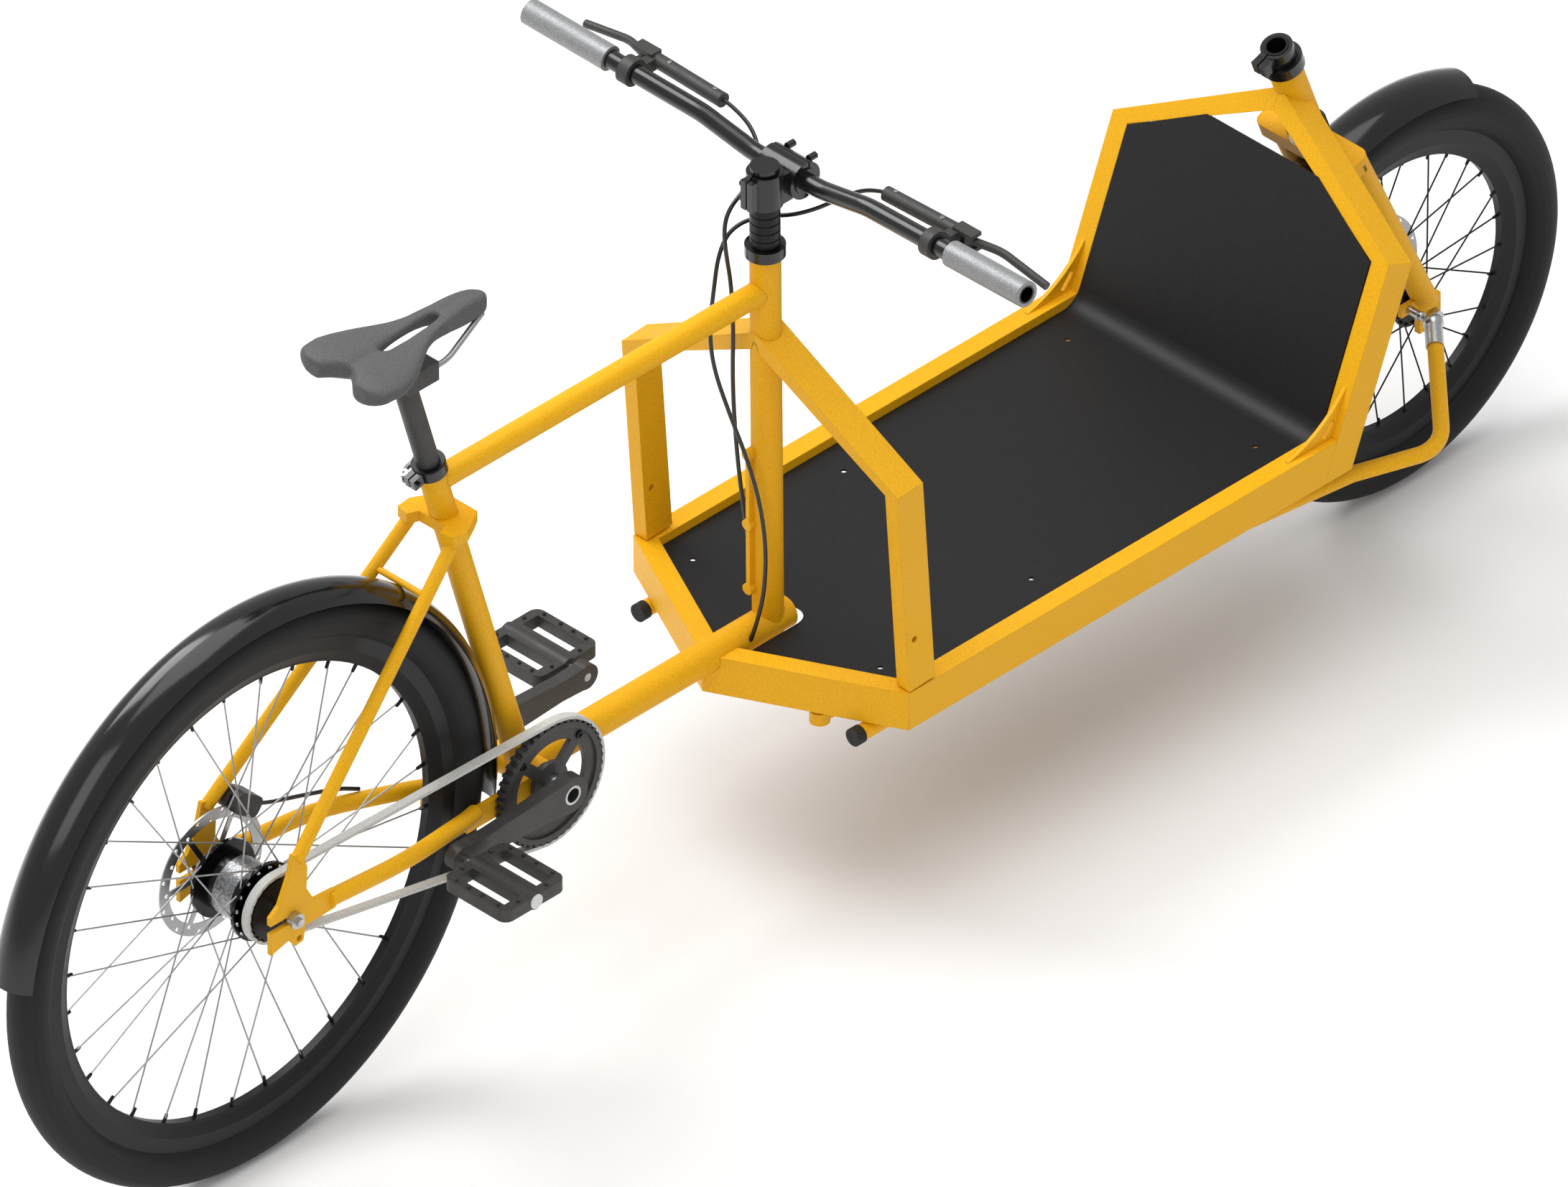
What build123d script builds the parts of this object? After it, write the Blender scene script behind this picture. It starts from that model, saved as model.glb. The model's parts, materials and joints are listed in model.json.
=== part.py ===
"""Two-wheeled cargo bicycle with a low deck between the rider and the front wheel.

Everything is laid out in a bench frame: X forward from the rear axle, Y to the rider's left,
Z up from the ground. save() then moves each part so that the origin is on the ground under
the middle of the bicycle. All lengths are in millimetres.
"""
import os
from math import atan2, cos, degrees, pi, radians, sin, sqrt, tan

from build123d import *

os.makedirs("parts", exist_ok=True)

# wheels
rear_rim_seat = 311.0          # ISO 622 rim
rear_tyre_section = 24.5
front_rim_seat = 203.0         # ISO 406 rim
front_tyre_section = 27.0
rear_wheel_radius = rear_rim_seat + 2 * rear_tyre_section
front_wheel_radius = front_rim_seat + 2 * front_tyre_section
wheelbase = 1812.0
tyre_wall = 3.5
rim_depth = 30.0
rim_width = 25.0
spoke_radius = 1.0
axle_radius = 5.0
running_gap = 0.05             # radial clearance of every bearing bore on its shaft

# rider's frame
bottom_bracket = Vector(430, 0, 310)
seat_angle = 74.0
seat_tube_top = 795.0          # height of the seat tube's mouth
seat_tube_radius = 15.9
top_tube_radius = 14.3
top_tube_height = 764.0
main_tube_radius = 19.0
mast_x = 818.0
mast_radius = 18.0
mast_top = 812.0
mast_bottom = 262.0
column_radius = 14.3

# cargo frame
deck_half_width = 217.5
rail_width = 25.0
rail_top = 316.0
rail_height = 50.0
rail_rear_x = 822.0
chevron_tip_x = 714.0
deck_top = 305.0
deck_thickness = 3.0
deck_hole_x = (847.0, 1086.0, 1443.0)
deck_hole_y = 148.0
deck_hole_radius = 3.5
arch_tube = 20.0               # width of the rear arch's tube seen from behind
hoop_tube = 25.0
arch_depth = 40.0
box_wall = 2.0                 # of the rails, the arch and the hoop
arch_lean = -3.6               # degrees, to the rear
hoop_lean = 22.3               # degrees, forward
hoop_foot_x = 1504.0           # rear face of the hoop at the rails' top
panel_height = 268.0           # along the leaning front hoop

# front end
head_lean = 20.0               # steering axis, degrees from vertical, top to the rear
steer_foot_x = 1639.0          # the steering axis passes here at steer_foot_z
steer_foot_z = 657.0
fork_offset_y = 60.0
blade_radius = 15.0

# drive
chain_line = 44.0
chainring_teeth = 46
sprocket_teeth = 24
belt_pitch = 11.0
tooth_height = 5.2             # from the pitch line down to the root of a sprocket's teeth
crank_length = 170.0
crank_plane = 74.0
pedal_length = 100.0
pedal_width = 96.0

# steering linkage
steer_arm = 81.0
arm_height = 237.0
rod_radius = 9.5

# centre stand
stand_pivot = Vector(1050, 0, 253)
stand_leg_y = 170.0
stand_reach = 269.0
foot_length = 12.0
leg_radius = 10.0
leg_wall = 2.0

# handlebar
hose_radius = 2.5
hose_left = [(882, 127, 925), (884, 96, 917), (874, 64, 898), (850, 44, 882), (820, 36, 878),
             (797, 36, 864), (789, 36, 842), (788, 32, 812), (792, 28, 770), (793, 26, 710),
             (791, 26, 650), (792, 25, 590), (795, 23, 530), (798, 19, 475), (802, 14, 425)]
hose_right = [(882, -127, 925), (886, -98, 914), (880, -66, 893), (868, -38, 868), (852, -8, 850),
              (836, 26, 842), (806, 42, 832), (786, 42, 806), (774, 38, 762), (766, 37, 715),
              (765, 30, 668), (772, 13, 612), (783, -5, 550), (789, -18, 495), (792, -24, 435),
              (789, -24, 378), (780, -22, 340), (772.5, -18, 314.5)]

rear_fender_radius = 378.0
front_fender_radius = 272.0
fender_wall = 2.0

rear_axle = Vector(0, 0, rear_wheel_radius)
front_axle = Vector(wheelbase, 0, front_wheel_radius)
fender_rear_angle = 171.0
rear_reach = (rear_fender_radius + fender_wall) * cos(radians(180 - fender_rear_angle))
middle_x = (wheelbase + front_wheel_radius - rear_reach) / 2

saved_nodes = []


def save(name, shape):
    """Moves a finished part from the bench frame to the row's frame and writes it."""
    moved = Compound(children=[solid.moved(Location((-middle_x, 0, 0))) for solid in shape.solids()])
    export_step(moved, f"parts/{name}.step")
    saved_nodes.append(name)


def rod(start, end, radius, bore=0.0):
    """A round bar or tube from one point to another."""
    start = Vector(start)
    run = Vector(end) - start
    place = Plane(origin=start, z_dir=run)
    bar = place * Cylinder(radius, run.length, align=(Align.CENTER, Align.CENTER, Align.MIN))
    if bore > 0:
        longer = run.length + 2
        hole = Cylinder(bore, longer, align=(Align.CENTER, Align.CENTER, Align.MIN))
        bar -= place * (Pos(0, 0, -1) * hole)
    return bar


def across(x, y_low, y_high, z, radius, bore=0.0):
    """A round bar or tube along Y."""
    return rod((x, y_low, z), (x, y_high, z), radius, bore)


def block(x, y, z):
    """A box given by its (low, high) span on each axis."""
    size = [high - low for low, high in (x, y, z)]
    centre = [(high + low) / 2 for low, high in (x, y, z)]
    return Pos(*centre) * Box(*size)


def plate(points, plane, thickness):
    """A flat plate of straight-edged outline, its thickness along the plane's normal."""
    return extrude(plane * make_face(Polyline(*points, close=True)), thickness)


def bend_radii(points, limit):
    """The largest arc at each corner that its two runs leave room for, up to a limit."""
    radii = []
    for before, corner, after in zip(points, points[1:], points[2:]):
        first = Vector(corner) - Vector(before)
        second = Vector(after) - Vector(corner)
        half_turn = radians(first.get_angle(second)) / 2
        radii.append(min(0.45 * min(first.length, second.length) / tan(half_turn), limit))
    return radii


def pipe(points, radius, largest_bend=1000.0, bore=0.0):
    """A round bar or tube along straight runs joined by arcs."""
    path = FilletPolyline(*points, radius=bend_radii(points, largest_bend))
    start = Plane(origin=path @ 0, z_dir=path % 0)
    section = Circle(radius)
    if bore > 0:
        section -= Circle(bore)
    return sweep(start * section, path=path)


def ring(section, centre):
    """Revolves a section, drawn with X as radius and Y as width, about the wheel's axle."""
    plane = Plane(origin=centre, x_dir=(0, 0, 1), z_dir=(1, 0, 0))
    return revolve(plane * section, axis=Axis(centre, (0, 1, 0)))


def mirrored(shape):
    return mirror(shape, about=Plane.XZ)


def both_sides(shape):
    return Compound(children=list(shape.solids()) + list(mirrored(shape).solids()))


def solids_of(*shapes):
    return Compound(children=[solid for shape in shapes for solid in shape.solids()])


def hollow(shape):
    """Box-section tube: each flat-sided member with its inside taken out and its ends closed."""
    return solids_of(*[member - offset(member, amount=-box_wall) for member in shape.solids()])


def toward(start, end, distance):
    """The point that far along the straight line from start to end."""
    start = Vector(start)
    return start + (Vector(end) - start).normalized() * distance


# ---------------------------------------------------------------- wheels

def tyre(centre, seat, section_radius):
    """A tyre with its inner tube, closed and seated between the rim's flanges."""
    crown = Pos(seat + section_radius, 0) * Circle(section_radius)
    cavity = Pos(seat + section_radius, 0) * Circle(section_radius - tyre_wall)
    return ring(crown - cavity, centre) - rim(centre, seat)


def rim(centre, seat):
    """A deep double-walled rim; the tyre sits in its well."""
    half = rim_width / 2
    outer = [(seat + 5.9, half), (seat - 14, half), (seat - rim_depth + 4, 6.5),
             (seat - rim_depth, 5), (seat - rim_depth, -5), (seat - rim_depth + 4, -6.5),
             (seat - 14, -half), (seat + 5.9, -half)]
    well = Pos(seat + 2, 0) * Rectangle(8, rim_width - 2.9)
    chamber = [(seat - 8, half - 2.5), (seat - 13.5, half - 2.5), (seat - rim_depth + 5, 4.2),
               (seat - rim_depth + 5, -4.2), (seat - 13.5, -half + 2.5), (seat - 8, -half + 2.5)]
    face = make_face(Polyline(*outer, close=True)) - well - make_face(Polyline(*chamber, close=True))
    return ring(face, centre)


def spokes(centre, count, flange_radius, flange_y_right, flange_y_left, rim_radius, cross_turn):
    """Crossed spokes, drawn in pairs that leave each flange left and right of radial."""
    bars = []
    for number in range(count):
        side_y = flange_y_right if number % 2 else flange_y_left
        lean = cross_turn if (number // 2) % 2 else -cross_turn
        rim_angle = 2 * pi * (number + 0.5) / count
        hub_angle = rim_angle + radians(lean)
        hub_point = centre + Vector(flange_radius * cos(hub_angle), side_y, flange_radius * sin(hub_angle))
        rim_point = centre + Vector(rim_radius * cos(rim_angle), side_y * 0.06, rim_radius * sin(rim_angle))
        bars.append(rod(hub_point, rim_point, spoke_radius))
    return solids_of(*bars)


def disc_rotor(centre, y, radius):
    """A brake rotor: a braking band on six arms."""
    thick = 1.8
    band = across(centre.X, y, y + thick, centre.Z, radius, radius - 15)
    hub_ring = across(centre.X, y, y + thick, centre.Z, 26, 17)
    arm_length = radius - 15 - 24
    rotor = band + hub_ring
    for number in range(6):
        arm = Pos(24 + arm_length / 2, 0, 0) * Box(arm_length + 4, thick, 7)
        place = Pos(centre.X, y + thick / 2, centre.Z) * Rot(0, 60 * number, 0)
        rotor += place * arm
    for number in range(24):
        angle = 2 * pi * number / 24
        hole_radius = radius - 7.5 + (3.2 if number % 2 else -3.2)
        x = centre.X + hole_radius * cos(angle)
        z = centre.Z + hole_radius * sin(angle)
        rotor -= across(x, y - 1, y + thick + 1, z, 2.6)
    return rotor


front_flange = 24.0
rear_flange = 44.0
hub_bore = axle_radius + running_gap


def front_hub():
    barrel = across(wheelbase, -38, 44, front_axle.Z, 15)
    flanges = across(wheelbase, -34, -30, front_axle.Z, front_flange + 4)
    flanges += across(wheelbase, 26, 30, front_axle.Z, front_flange + 4)
    rotor_seat = across(wheelbase, 30, 38, front_axle.Z, 22)
    return barrel + flanges + rotor_seat - across(wheelbase, -39, 45, front_axle.Z, hub_bore)


def rear_hub():
    """The shell of the internally geared hub."""
    shell = across(0, -30, 38, rear_axle.Z, 36)
    flanges = across(0, -30, -25, rear_axle.Z, rear_flange + 4)
    flanges += across(0, 33, 38, rear_axle.Z, rear_flange + 4)
    rotor_seat = across(0, 38, 54, rear_axle.Z, 22)
    return shell + flanges + rotor_seat - across(0, -31, 55, rear_axle.Z, hub_bore)


rear_rim = rim(rear_axle, rear_rim_seat)
front_rim = rim(front_axle, front_rim_seat)
front_lacing = spokes(front_axle, 28, front_flange, -32, 28, front_rim_seat - rim_depth + 1, 62)
rear_lacing = spokes(rear_axle, 32, rear_flange, -27.5, 35.5, rear_rim_seat - rim_depth + 1, 58)
save("rear_tyre", tyre(rear_axle, rear_rim_seat, rear_tyre_section))
save("rear_rim", rear_rim)
save("front_tyre", tyre(front_axle, front_rim_seat, front_tyre_section))
save("front_rim", front_rim)
save("front_hub", front_hub())
save("rear_hub", rear_hub())
save("front_spokes", solids_of(*[spoke - front_hub() - front_rim for spoke in front_lacing.solids()]))
save("rear_spokes", solids_of(*[spoke - rear_hub() - rear_rim for spoke in rear_lacing.solids()]))
rotor_radius = 80.0
front_rotor_y = 38.0
rear_rotor_y = 54.0
save("front_brake_disc", disc_rotor(front_axle, front_rotor_y, rotor_radius))
save("rear_brake_disc", disc_rotor(rear_axle, rear_rotor_y, rotor_radius))

# ---------------------------------------------------------------- cargo frame

def hoop_plane(foot_x, lean):
    """A plane whose X is across the bicycle and whose Y runs up along the leaning hoop."""
    up = Vector(sin(radians(lean)), 0, cos(radians(lean)))
    return Plane(origin=(foot_x, 0, rail_top), x_dir=(0, 1, 0), z_dir=Vector(0, 1, 0).cross(up))


def house_frame(plane, half, foot, knee, apex, width, depth):
    """A hoop shaped like a gable: two posts and two sloping members, mitred at each corner."""
    slope = atan2(apex - knee, half)
    inner_half = half - width
    inner_knee = knee - width * tan(slope / 2)
    inner_apex = apex - width / cos(slope)
    post = [(half, foot), (half, knee), (inner_half, inner_knee), (inner_half, foot)]
    roof = [(half, knee), (0, apex), (0, inner_apex), (inner_half, inner_knee)]
    members = [plate(outline, plane, depth) for outline in (post, roof)]
    return [both_sides(member) for member in members]


rear_plane = hoop_plane(rail_rear_x + 2, arch_lean)
front_plane = hoop_plane(hoop_foot_x, hoop_lean)
mast_solid = rod((mast_x, 0, mast_bottom), (mast_x, 0, mast_top), mast_radius)
main_tube_solid = rod(bottom_bracket, (846, 0, bottom_bracket.Z), main_tube_radius)

arch_posts, arch_roof = house_frame(rear_plane, deck_half_width, 1.5, 275, 398, arch_tube, arch_depth)
level_cut = block((0, 2000), (-300, 300), (0, rail_top))
arch_posts -= level_cut
post_hole = across(832, -deck_half_width - 9, deck_half_width + 9, 386, 4)
hole_sleeve = across(832, deck_half_width - arch_tube, deck_half_width, 386, 7) & arch_posts
save("rear_arch", solids_of(hollow(arch_posts) + both_sides(hole_sleeve) - post_hole,
                            hollow(arch_roof) - mast_solid))

hoop_posts, hoop_roof = house_frame(front_plane, deck_half_width, -60, 216, 340, hoop_tube, arch_depth)
hoop_posts -= block((1300, 1800), (-300, 300), (0, rail_top - rail_height))
axis_up = Vector(-sin(radians(head_lean)), 0, cos(radians(head_lean)))
steer_point = Vector(steer_foot_x, 0, steer_foot_z)


def on_axis(distance):
    """A point on the fork's steering axis, measured up from the collar's underside."""
    return steer_point + axis_up * distance


head_tube_radius = 20.0
head_tube_length = 104.0
head_tube_solid = rod(on_axis(-head_tube_length), on_axis(0), head_tube_radius)

inner_half = deck_half_width - rail_width
chevron_run = Vector(rail_rear_x - chevron_tip_x, deck_half_width, 0)
chevron_angle = atan2(deck_half_width, rail_rear_x - chevron_tip_x)
inner_tip_x = chevron_tip_x + rail_width / sin(chevron_angle)
mitre_x = inner_tip_x + inner_half / tan(chevron_angle)
rail_floor = Plane(origin=(0, 0, rail_top - rail_height))

rail_outline = [(rail_rear_x, deck_half_width), (1600, deck_half_width), (1600, inner_half),
                (mitre_x, inner_half)]
rail = plate(rail_outline, rail_floor, rail_height)
front_slab = plate([(-300, -80), (300, -80), (300, 400), (-300, 400)], front_plane, 400)
side_rail = rail - front_slab
chevron_outline = [(rail_rear_x, deck_half_width), (mitre_x, inner_half), (inner_tip_x, 0),
                   (chevron_tip_x, 0)]
chevron = plate(chevron_outline, rail_floor, rail_height)
deck_underside = deck_top - deck_thickness
crossmembers = [block((x, x + 26), (-inner_half, inner_half), (deck_underside - 22, deck_underside))
                for x in (950, 1240, 1451)]


def stand_bracket(y):
    """A cheek that hangs from the deck and carries the stand's cross tube."""
    cheek = block((stand_pivot.X - 16, stand_pivot.X + 16), (y, y + 30),
                  (stand_pivot.Z - 16, deck_underside))
    return cheek - across(stand_pivot.X, y - 1, y + 31, stand_pivot.Z, leg_radius + running_gap)


chevron_tubes = hollow(both_sides(chevron)) - main_tube_solid
save("deck_frame", solids_of(hollow(both_sides(side_rail)), chevron_tubes,
                             *[hollow(member) for member in crossmembers],
                             stand_bracket(-110), stand_bracket(80)))


def deck_panel():
    """The deck and the bulkhead, folded from one sheet with a wide bend between them."""
    lean = radians(hoop_lean)
    bend_radius = 30.0
    flat_end_x = hoop_foot_x - 26
    turn = 90 - hoop_lean
    flat_start = Vector(720, 0, deck_top)
    flat_end = Vector(flat_end_x, 0, deck_top)
    bend_centre = flat_end + Vector(0, 0, bend_radius)
    bend_end = bend_centre + Vector(sin(radians(turn)), 0, -cos(radians(turn))) * bend_radius
    rise = Vector(sin(lean), 0, cos(lean))
    top = bend_end + rise * (panel_height - (bend_end.Z - rail_top) / cos(lean))
    fold_arc = CenterArc((flat_end_x, deck_top + bend_radius), bend_radius, -90, turn)
    upper = Line((bend_end.X, bend_end.Z), (top.X, top.Z))
    lower = Line((flat_start.X, flat_start.Z), (flat_end.X, flat_end.Z))
    skin = Wire([lower, fold_arc, upper])
    outer = offset(skin, amount=deck_thickness, side=Side.RIGHT)
    profile = Plane.XZ * make_face(outer)
    sheet = extrude(profile, inner_half - 1, both=True)
    gap = 1.0
    deck_edge = [(inner_tip_x + 3, -40), (mitre_x + 2, -inner_half + gap), (1800, -inner_half + gap),
                 (1800, inner_half - gap), (mitre_x + 2, inner_half - gap), (inner_tip_x + 3, 40)]
    keep = plate(deck_edge, Plane(origin=(0, 0, 250)), 500)
    sheet = sheet & keep
    roof_slope = (340 - 216) / deck_half_width
    shoulder = 216 - hoop_tube * tan(atan2(340 - 216, deck_half_width) / 2) - gap
    wide = inner_half - gap
    shoulder_top = shoulder + roof_slope * wide
    panel_edge = [(-wide, -200), (wide, -200), (wide, shoulder), (0, shoulder_top), (-wide, shoulder)]
    slab = Plane(origin=front_plane.origin - front_plane.z_dir * 60, x_dir=(0, 1, 0),
                 z_dir=front_plane.z_dir)
    upper_zone = plate(panel_edge, slab, 200) + block((600, flat_end_x), (-wide, wide), (250, 320))
    sheet = sheet & upper_zone
    sheet -= block((600, 842), (-22.5, 22.5), (250, 340))
    sheet -= Pos(842, 0, 300) * Cylinder(22.5, 60)
    for x in deck_hole_x:
        for y in (-deck_hole_y, deck_hole_y):
            sheet -= Pos(x, y, deck_top) * Cylinder(deck_hole_radius, 20)
    return sheet - both_sides(chevron) - hoop_posts - hoop_roof


save("deck_panel", deck_panel())


def gusset():
    """A thin slotted web that braces the hoop against the rail, with a hollowed long edge."""
    y = deck_half_width - 9
    side = Plane(origin=(0, y, 0), x_dir=(1, 0, 0), z_dir=(0, -1, 0))
    toe = (hoop_foot_x - 70, rail_top)
    tip = (hoop_foot_x + 62 * sin(radians(hoop_lean)), rail_top + 62 * cos(radians(hoop_lean)))
    heel = (hoop_foot_x, rail_top)
    hollow = ThreePointArc(tip, (hoop_foot_x - 16, rail_top + 22), toe)
    web = side * make_face(Wire([Line(toe, heel), Line(heel, tip), hollow]))
    slot = side * (Pos(hoop_foot_x - 6, rail_top + 14) * Rot(0, 0, 47) * SlotOverall(26, 7))
    return extrude(web - slot, 5)


save("front_hoop", solids_of(hollow(hoop_posts), hollow(hoop_roof) - head_tube_solid,
                             both_sides(gusset() - hoop_posts)))

# ---------------------------------------------------------------- rider's frame

seat_up = Vector(-cos(radians(seat_angle)), 0, sin(radians(seat_angle)))
seat_mouth = bottom_bracket + seat_up * ((seat_tube_top - bottom_bracket.Z) / seat_up.Z)
shell_radius = 20.0
shell_half = 34.0
seat_tube_solid = rod(bottom_bracket, seat_mouth, seat_tube_radius)
shell_solid = across(bottom_bracket.X, -shell_half, shell_half, bottom_bracket.Z, shell_radius)
post_radius = 13.6
cup_seat = 17.5

crank_shell = shell_solid - across(bottom_bracket.X, -60, 60, bottom_bracket.Z, cup_seat)
seat_bore = rod(bottom_bracket, seat_mouth + seat_up * 5, post_radius + running_gap)
save("seat_tube", seat_tube_solid - shell_solid - seat_bore + crank_shell)
column_bore = rod((mast_x, 0, 200), (mast_x, 0, 900), column_radius + 2)
guide_strip = block((mast_x - 24, mast_x - 12), (4, 10), (360, 545))
for guide_z in (545, 450, 362):
    guide_strip += rod((mast_x - 26, 7, guide_z), (mast_x - 14, 7, guide_z), 7)
guide_strip = guide_strip - mast_solid - pipe(hose_left, hose_radius + 0.3, 400)
save("mast_tube", solids_of(mast_solid - column_bore, guide_strip))
main_tube_bore = rod((0, 0, bottom_bracket.Z), (900, 0, bottom_bracket.Z), main_tube_radius - 1.6)
save("main_tube", main_tube_solid - shell_solid - seat_tube_solid - mast_solid - main_tube_bore
     - pipe(hose_right, hose_radius + 0.3, 400))
seat_line_x = bottom_bracket.X + seat_up.X / seat_up.Z * (top_tube_height - bottom_bracket.Z)
top_tube = rod((seat_line_x, 0, top_tube_height), (mast_x, 0, top_tube_height), top_tube_radius,
               top_tube_radius - 1.2)
save("top_tube", top_tube - seat_tube_solid - mast_solid)

save("front_head_tube", head_tube_solid - rod(on_axis(-120), on_axis(10), 16))

# rear triangle: plates at the axle, stays up to the seat tube and forward to the crank shell
dropout_y = 69.0
dropout_thick = 6.0
stay_y = dropout_y + dropout_thick / 2


def dropout():
    """A sliding-axle dropout plate with an open slot to the rear and two stay tabs."""
    side = Plane(origin=(0, dropout_y, rear_axle.Z), x_dir=(1, 0, 0), z_dir=(0, -1, 0))
    outline = [(-34, -15), (-34, -34), (-6, -27), (4, -40), (16, -38), (20, -20), (66, -19),
               (74, -8), (66, 6), (34, 8), (22, 30), (24, 58), (16, 80), (2, 84), (-4, 60),
               (-20, 26), (-34, 16)]
    slot = [(-60, -axle_radius - 0.4), (8, -axle_radius - 0.4), (8, axle_radius + 0.4),
            (-60, axle_radius + 0.4)]
    face = make_face(Polyline(*outline, close=True)) - make_face(Polyline(*slot, close=True))
    face -= Pos(10, -32) * Circle(4)
    return extrude(side * face, -dropout_thick)


dropout_pair = both_sides(dropout())
chainstay_start = Vector(58, stay_y, rear_axle.Z - 5)
chainstay = pipe([chainstay_start, Vector(180, 70, 343), Vector(300, 43, 322), Vector(322, 35.5, 318)], 10,
                 400)
yoke = block((308, bottom_bracket.X), (30.5, chain_line - 7), (297, 323))
chainstay = chainstay - dropout_pair - yoke
yoke -= across(bottom_bracket.X, -60, 60, bottom_bracket.Z, shell_radius)
cluster_height = 708.0
cluster_x = bottom_bracket.X + seat_up.X / seat_up.Z * (cluster_height - bottom_bracket.Z)
seatstay_top = Vector(cluster_x - 20, 34, cluster_height - 6)
seatstay_foot = Vector(10, stay_y, rear_axle.Z + 72)
seatstay = rod(seatstay_foot, seatstay_top, 8) - dropout_pair


def cluster():
    """The yoke plate that wraps the seat tube and carries both seat stays."""
    level = Plane(origin=(0, 0, cluster_height - 6))
    outline = [(cluster_x + 25, 26), (cluster_x + 12, 34), (cluster_x - 10, 46), (cluster_x - 30, 44),
               (cluster_x - 34, 26), (cluster_x - 20, 20), (cluster_x - 20, -20),
               (cluster_x - 34, -26), (cluster_x - 30, -44), (cluster_x - 10, -46),
               (cluster_x + 12, -34), (cluster_x + 25, -26)]
    return plate(outline, level, 14) - seat_tube_solid - both_sides(seatstay)


bridge_point = seatstay_foot + (seatstay_top - seatstay_foot) * 0.825
stay_bridge = across(bridge_point.X, -bridge_point.Y, bridge_point.Y, bridge_point.Z, 4)
stay_bridge -= both_sides(seatstay)
seatstay_core = rod(toward(seatstay_foot, seatstay_top, 12), toward(seatstay_top, seatstay_foot, 12), 6.5)
chainstay_core = pipe([toward(chainstay_start, (180, 70, 343), 10), (180, 70, 343), (300, 43, 322),
                       (308, 40.6, 320.6)], 8.2, 400)
save("rear_triangle", solids_of(dropout_pair, both_sides(chainstay - chainstay_core), both_sides(yoke),
                                both_sides(seatstay - seatstay_core), cluster(), stay_bridge))

# ---------------------------------------------------------------- steering

cup_radius = 23.5
column_clear = column_radius + running_gap
steerer_clear = 14.3 + running_gap
save("headset_cups", solids_of(
    rod((mast_x, 0, mast_top), (mast_x, 0, mast_top + 14), cup_radius, column_clear),
    rod((mast_x, 0, mast_bottom - 12), (mast_x, 0, mast_bottom), cup_radius, column_clear),
    rod(on_axis(0), on_axis(15), 25, steerer_clear),
    rod(on_axis(-head_tube_length - 14), on_axis(-head_tube_length), 24, steerer_clear)))
spacer_base = mast_top + 14.5
spacer_top = 880.0
spacer_ring = (spacer_top - spacer_base) / 5
spacer_stack = rod((mast_x, 0, spacer_base), (mast_x, 0, spacer_top), 17.5, column_radius)
for number in range(1, 5):
    groove_z = spacer_base + number * spacer_ring
    spacer_stack -= rod((mast_x, 0, groove_z - 0.8), (mast_x, 0, groove_z + 0.8), 20, 16.6)
save("column_spacers", spacer_stack)

column = rod((mast_x, 0, arm_height - 13), (mast_x, 0, 926), column_radius, column_radius - 2.5)
save("steering_column", column)

bar_clamp = Vector(854, 0, 906)
bar_clamp_radius = 15.9
bar_radius = 11.1


def stem():
    """A short two-bolt column clamp joined to a four-bolt handlebar clamp."""
    body = rod((mast_x, 0, 881), (mast_x, 0, 925), 21)
    body += block((mast_x, bar_clamp.X), (-20, 20), (884, 922))
    body += across(bar_clamp.X, -28, 28, bar_clamp.Z, 23)
    body += block((mast_x - 29, mast_x - 8), (-9, 9), (884, 922))
    body -= rod((mast_x, 0, 870), (mast_x, 0, 940), column_radius)
    body -= block((mast_x - 40, mast_x - 5), (-1, 1), (870, 940))
    body -= across(bar_clamp.X, -30, 30, bar_clamp.Z, bar_clamp_radius)
    body -= block((bar_clamp.X + 5, bar_clamp.X + 7), (-30, 30), (870, 940))
    return body


stem_cap = rod((mast_x, 0, 926), (mast_x, 0, 932), 17)
save("stem", solids_of(stem(), stem_cap))
bolt_sites = [(mast_x - 22, 893), (mast_x - 22, 913)]
stem_bolts = [across(x, 9, 14, z, 4.5) for x, z in bolt_sites]
for y in (-17, 17):
    for z in (-17, 17):
        start = (bar_clamp.X + 16, y, bar_clamp.Z + z)
        stem_bolts.append(rod(start, (bar_clamp.X + 27, y, bar_clamp.Z + z), 4.2))
stem_solid = stem()
arm_pivot = Vector(mast_x, -steer_arm, arm_height)
arm_bolt = rod(arm_pivot - Vector(0, 0, 27), arm_pivot + Vector(0, 0, 9), 4)
arm_bolt += rod(arm_pivot + Vector(0, 0, 6), arm_pivot + Vector(0, 0, 12), 8)
save("column_bolts", solids_of(*[bolt - stem_solid for bolt in stem_bolts], arm_bolt))

grip_end = Vector(838, 390, 939)
bar_bend_out = Vector(850, 130, 923)
grip_length = 122.0
bar_points = [(grip_end.X, -grip_end.Y, grip_end.Z), (850, -130, 923), (bar_clamp.X, -52, bar_clamp.Z),
              (bar_clamp.X, 52, bar_clamp.Z), (850, 130, 923), tuple(grip_end)]
handlebar = pipe(bar_points, bar_radius, 110, bar_radius - 2)
bar_sleeve = across(bar_clamp.X, -30, 30, bar_clamp.Z, bar_clamp_radius, bar_radius)
save("handlebar", handlebar + bar_sleeve)
bar_end_run = (grip_end - bar_bend_out).normalized()
grip = rod(grip_end - bar_end_run * grip_length, grip_end, 15.5)
hand_bar_solid = rod(grip_end - bar_end_run * 200, grip_end + bar_end_run * 5, bar_radius)
save("grips", both_sides(grip - hand_bar_solid))

lever_pivot = Vector(884, 256, 924)
lever_pin = rod(lever_pivot - Vector(0, 0, 12), lever_pivot + Vector(0, 0, 12), 2.5)
lever_bore = rod(lever_pivot - Vector(0, 0, 20), lever_pivot + Vector(0, 0, 20), 2.5 + running_gap)


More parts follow.
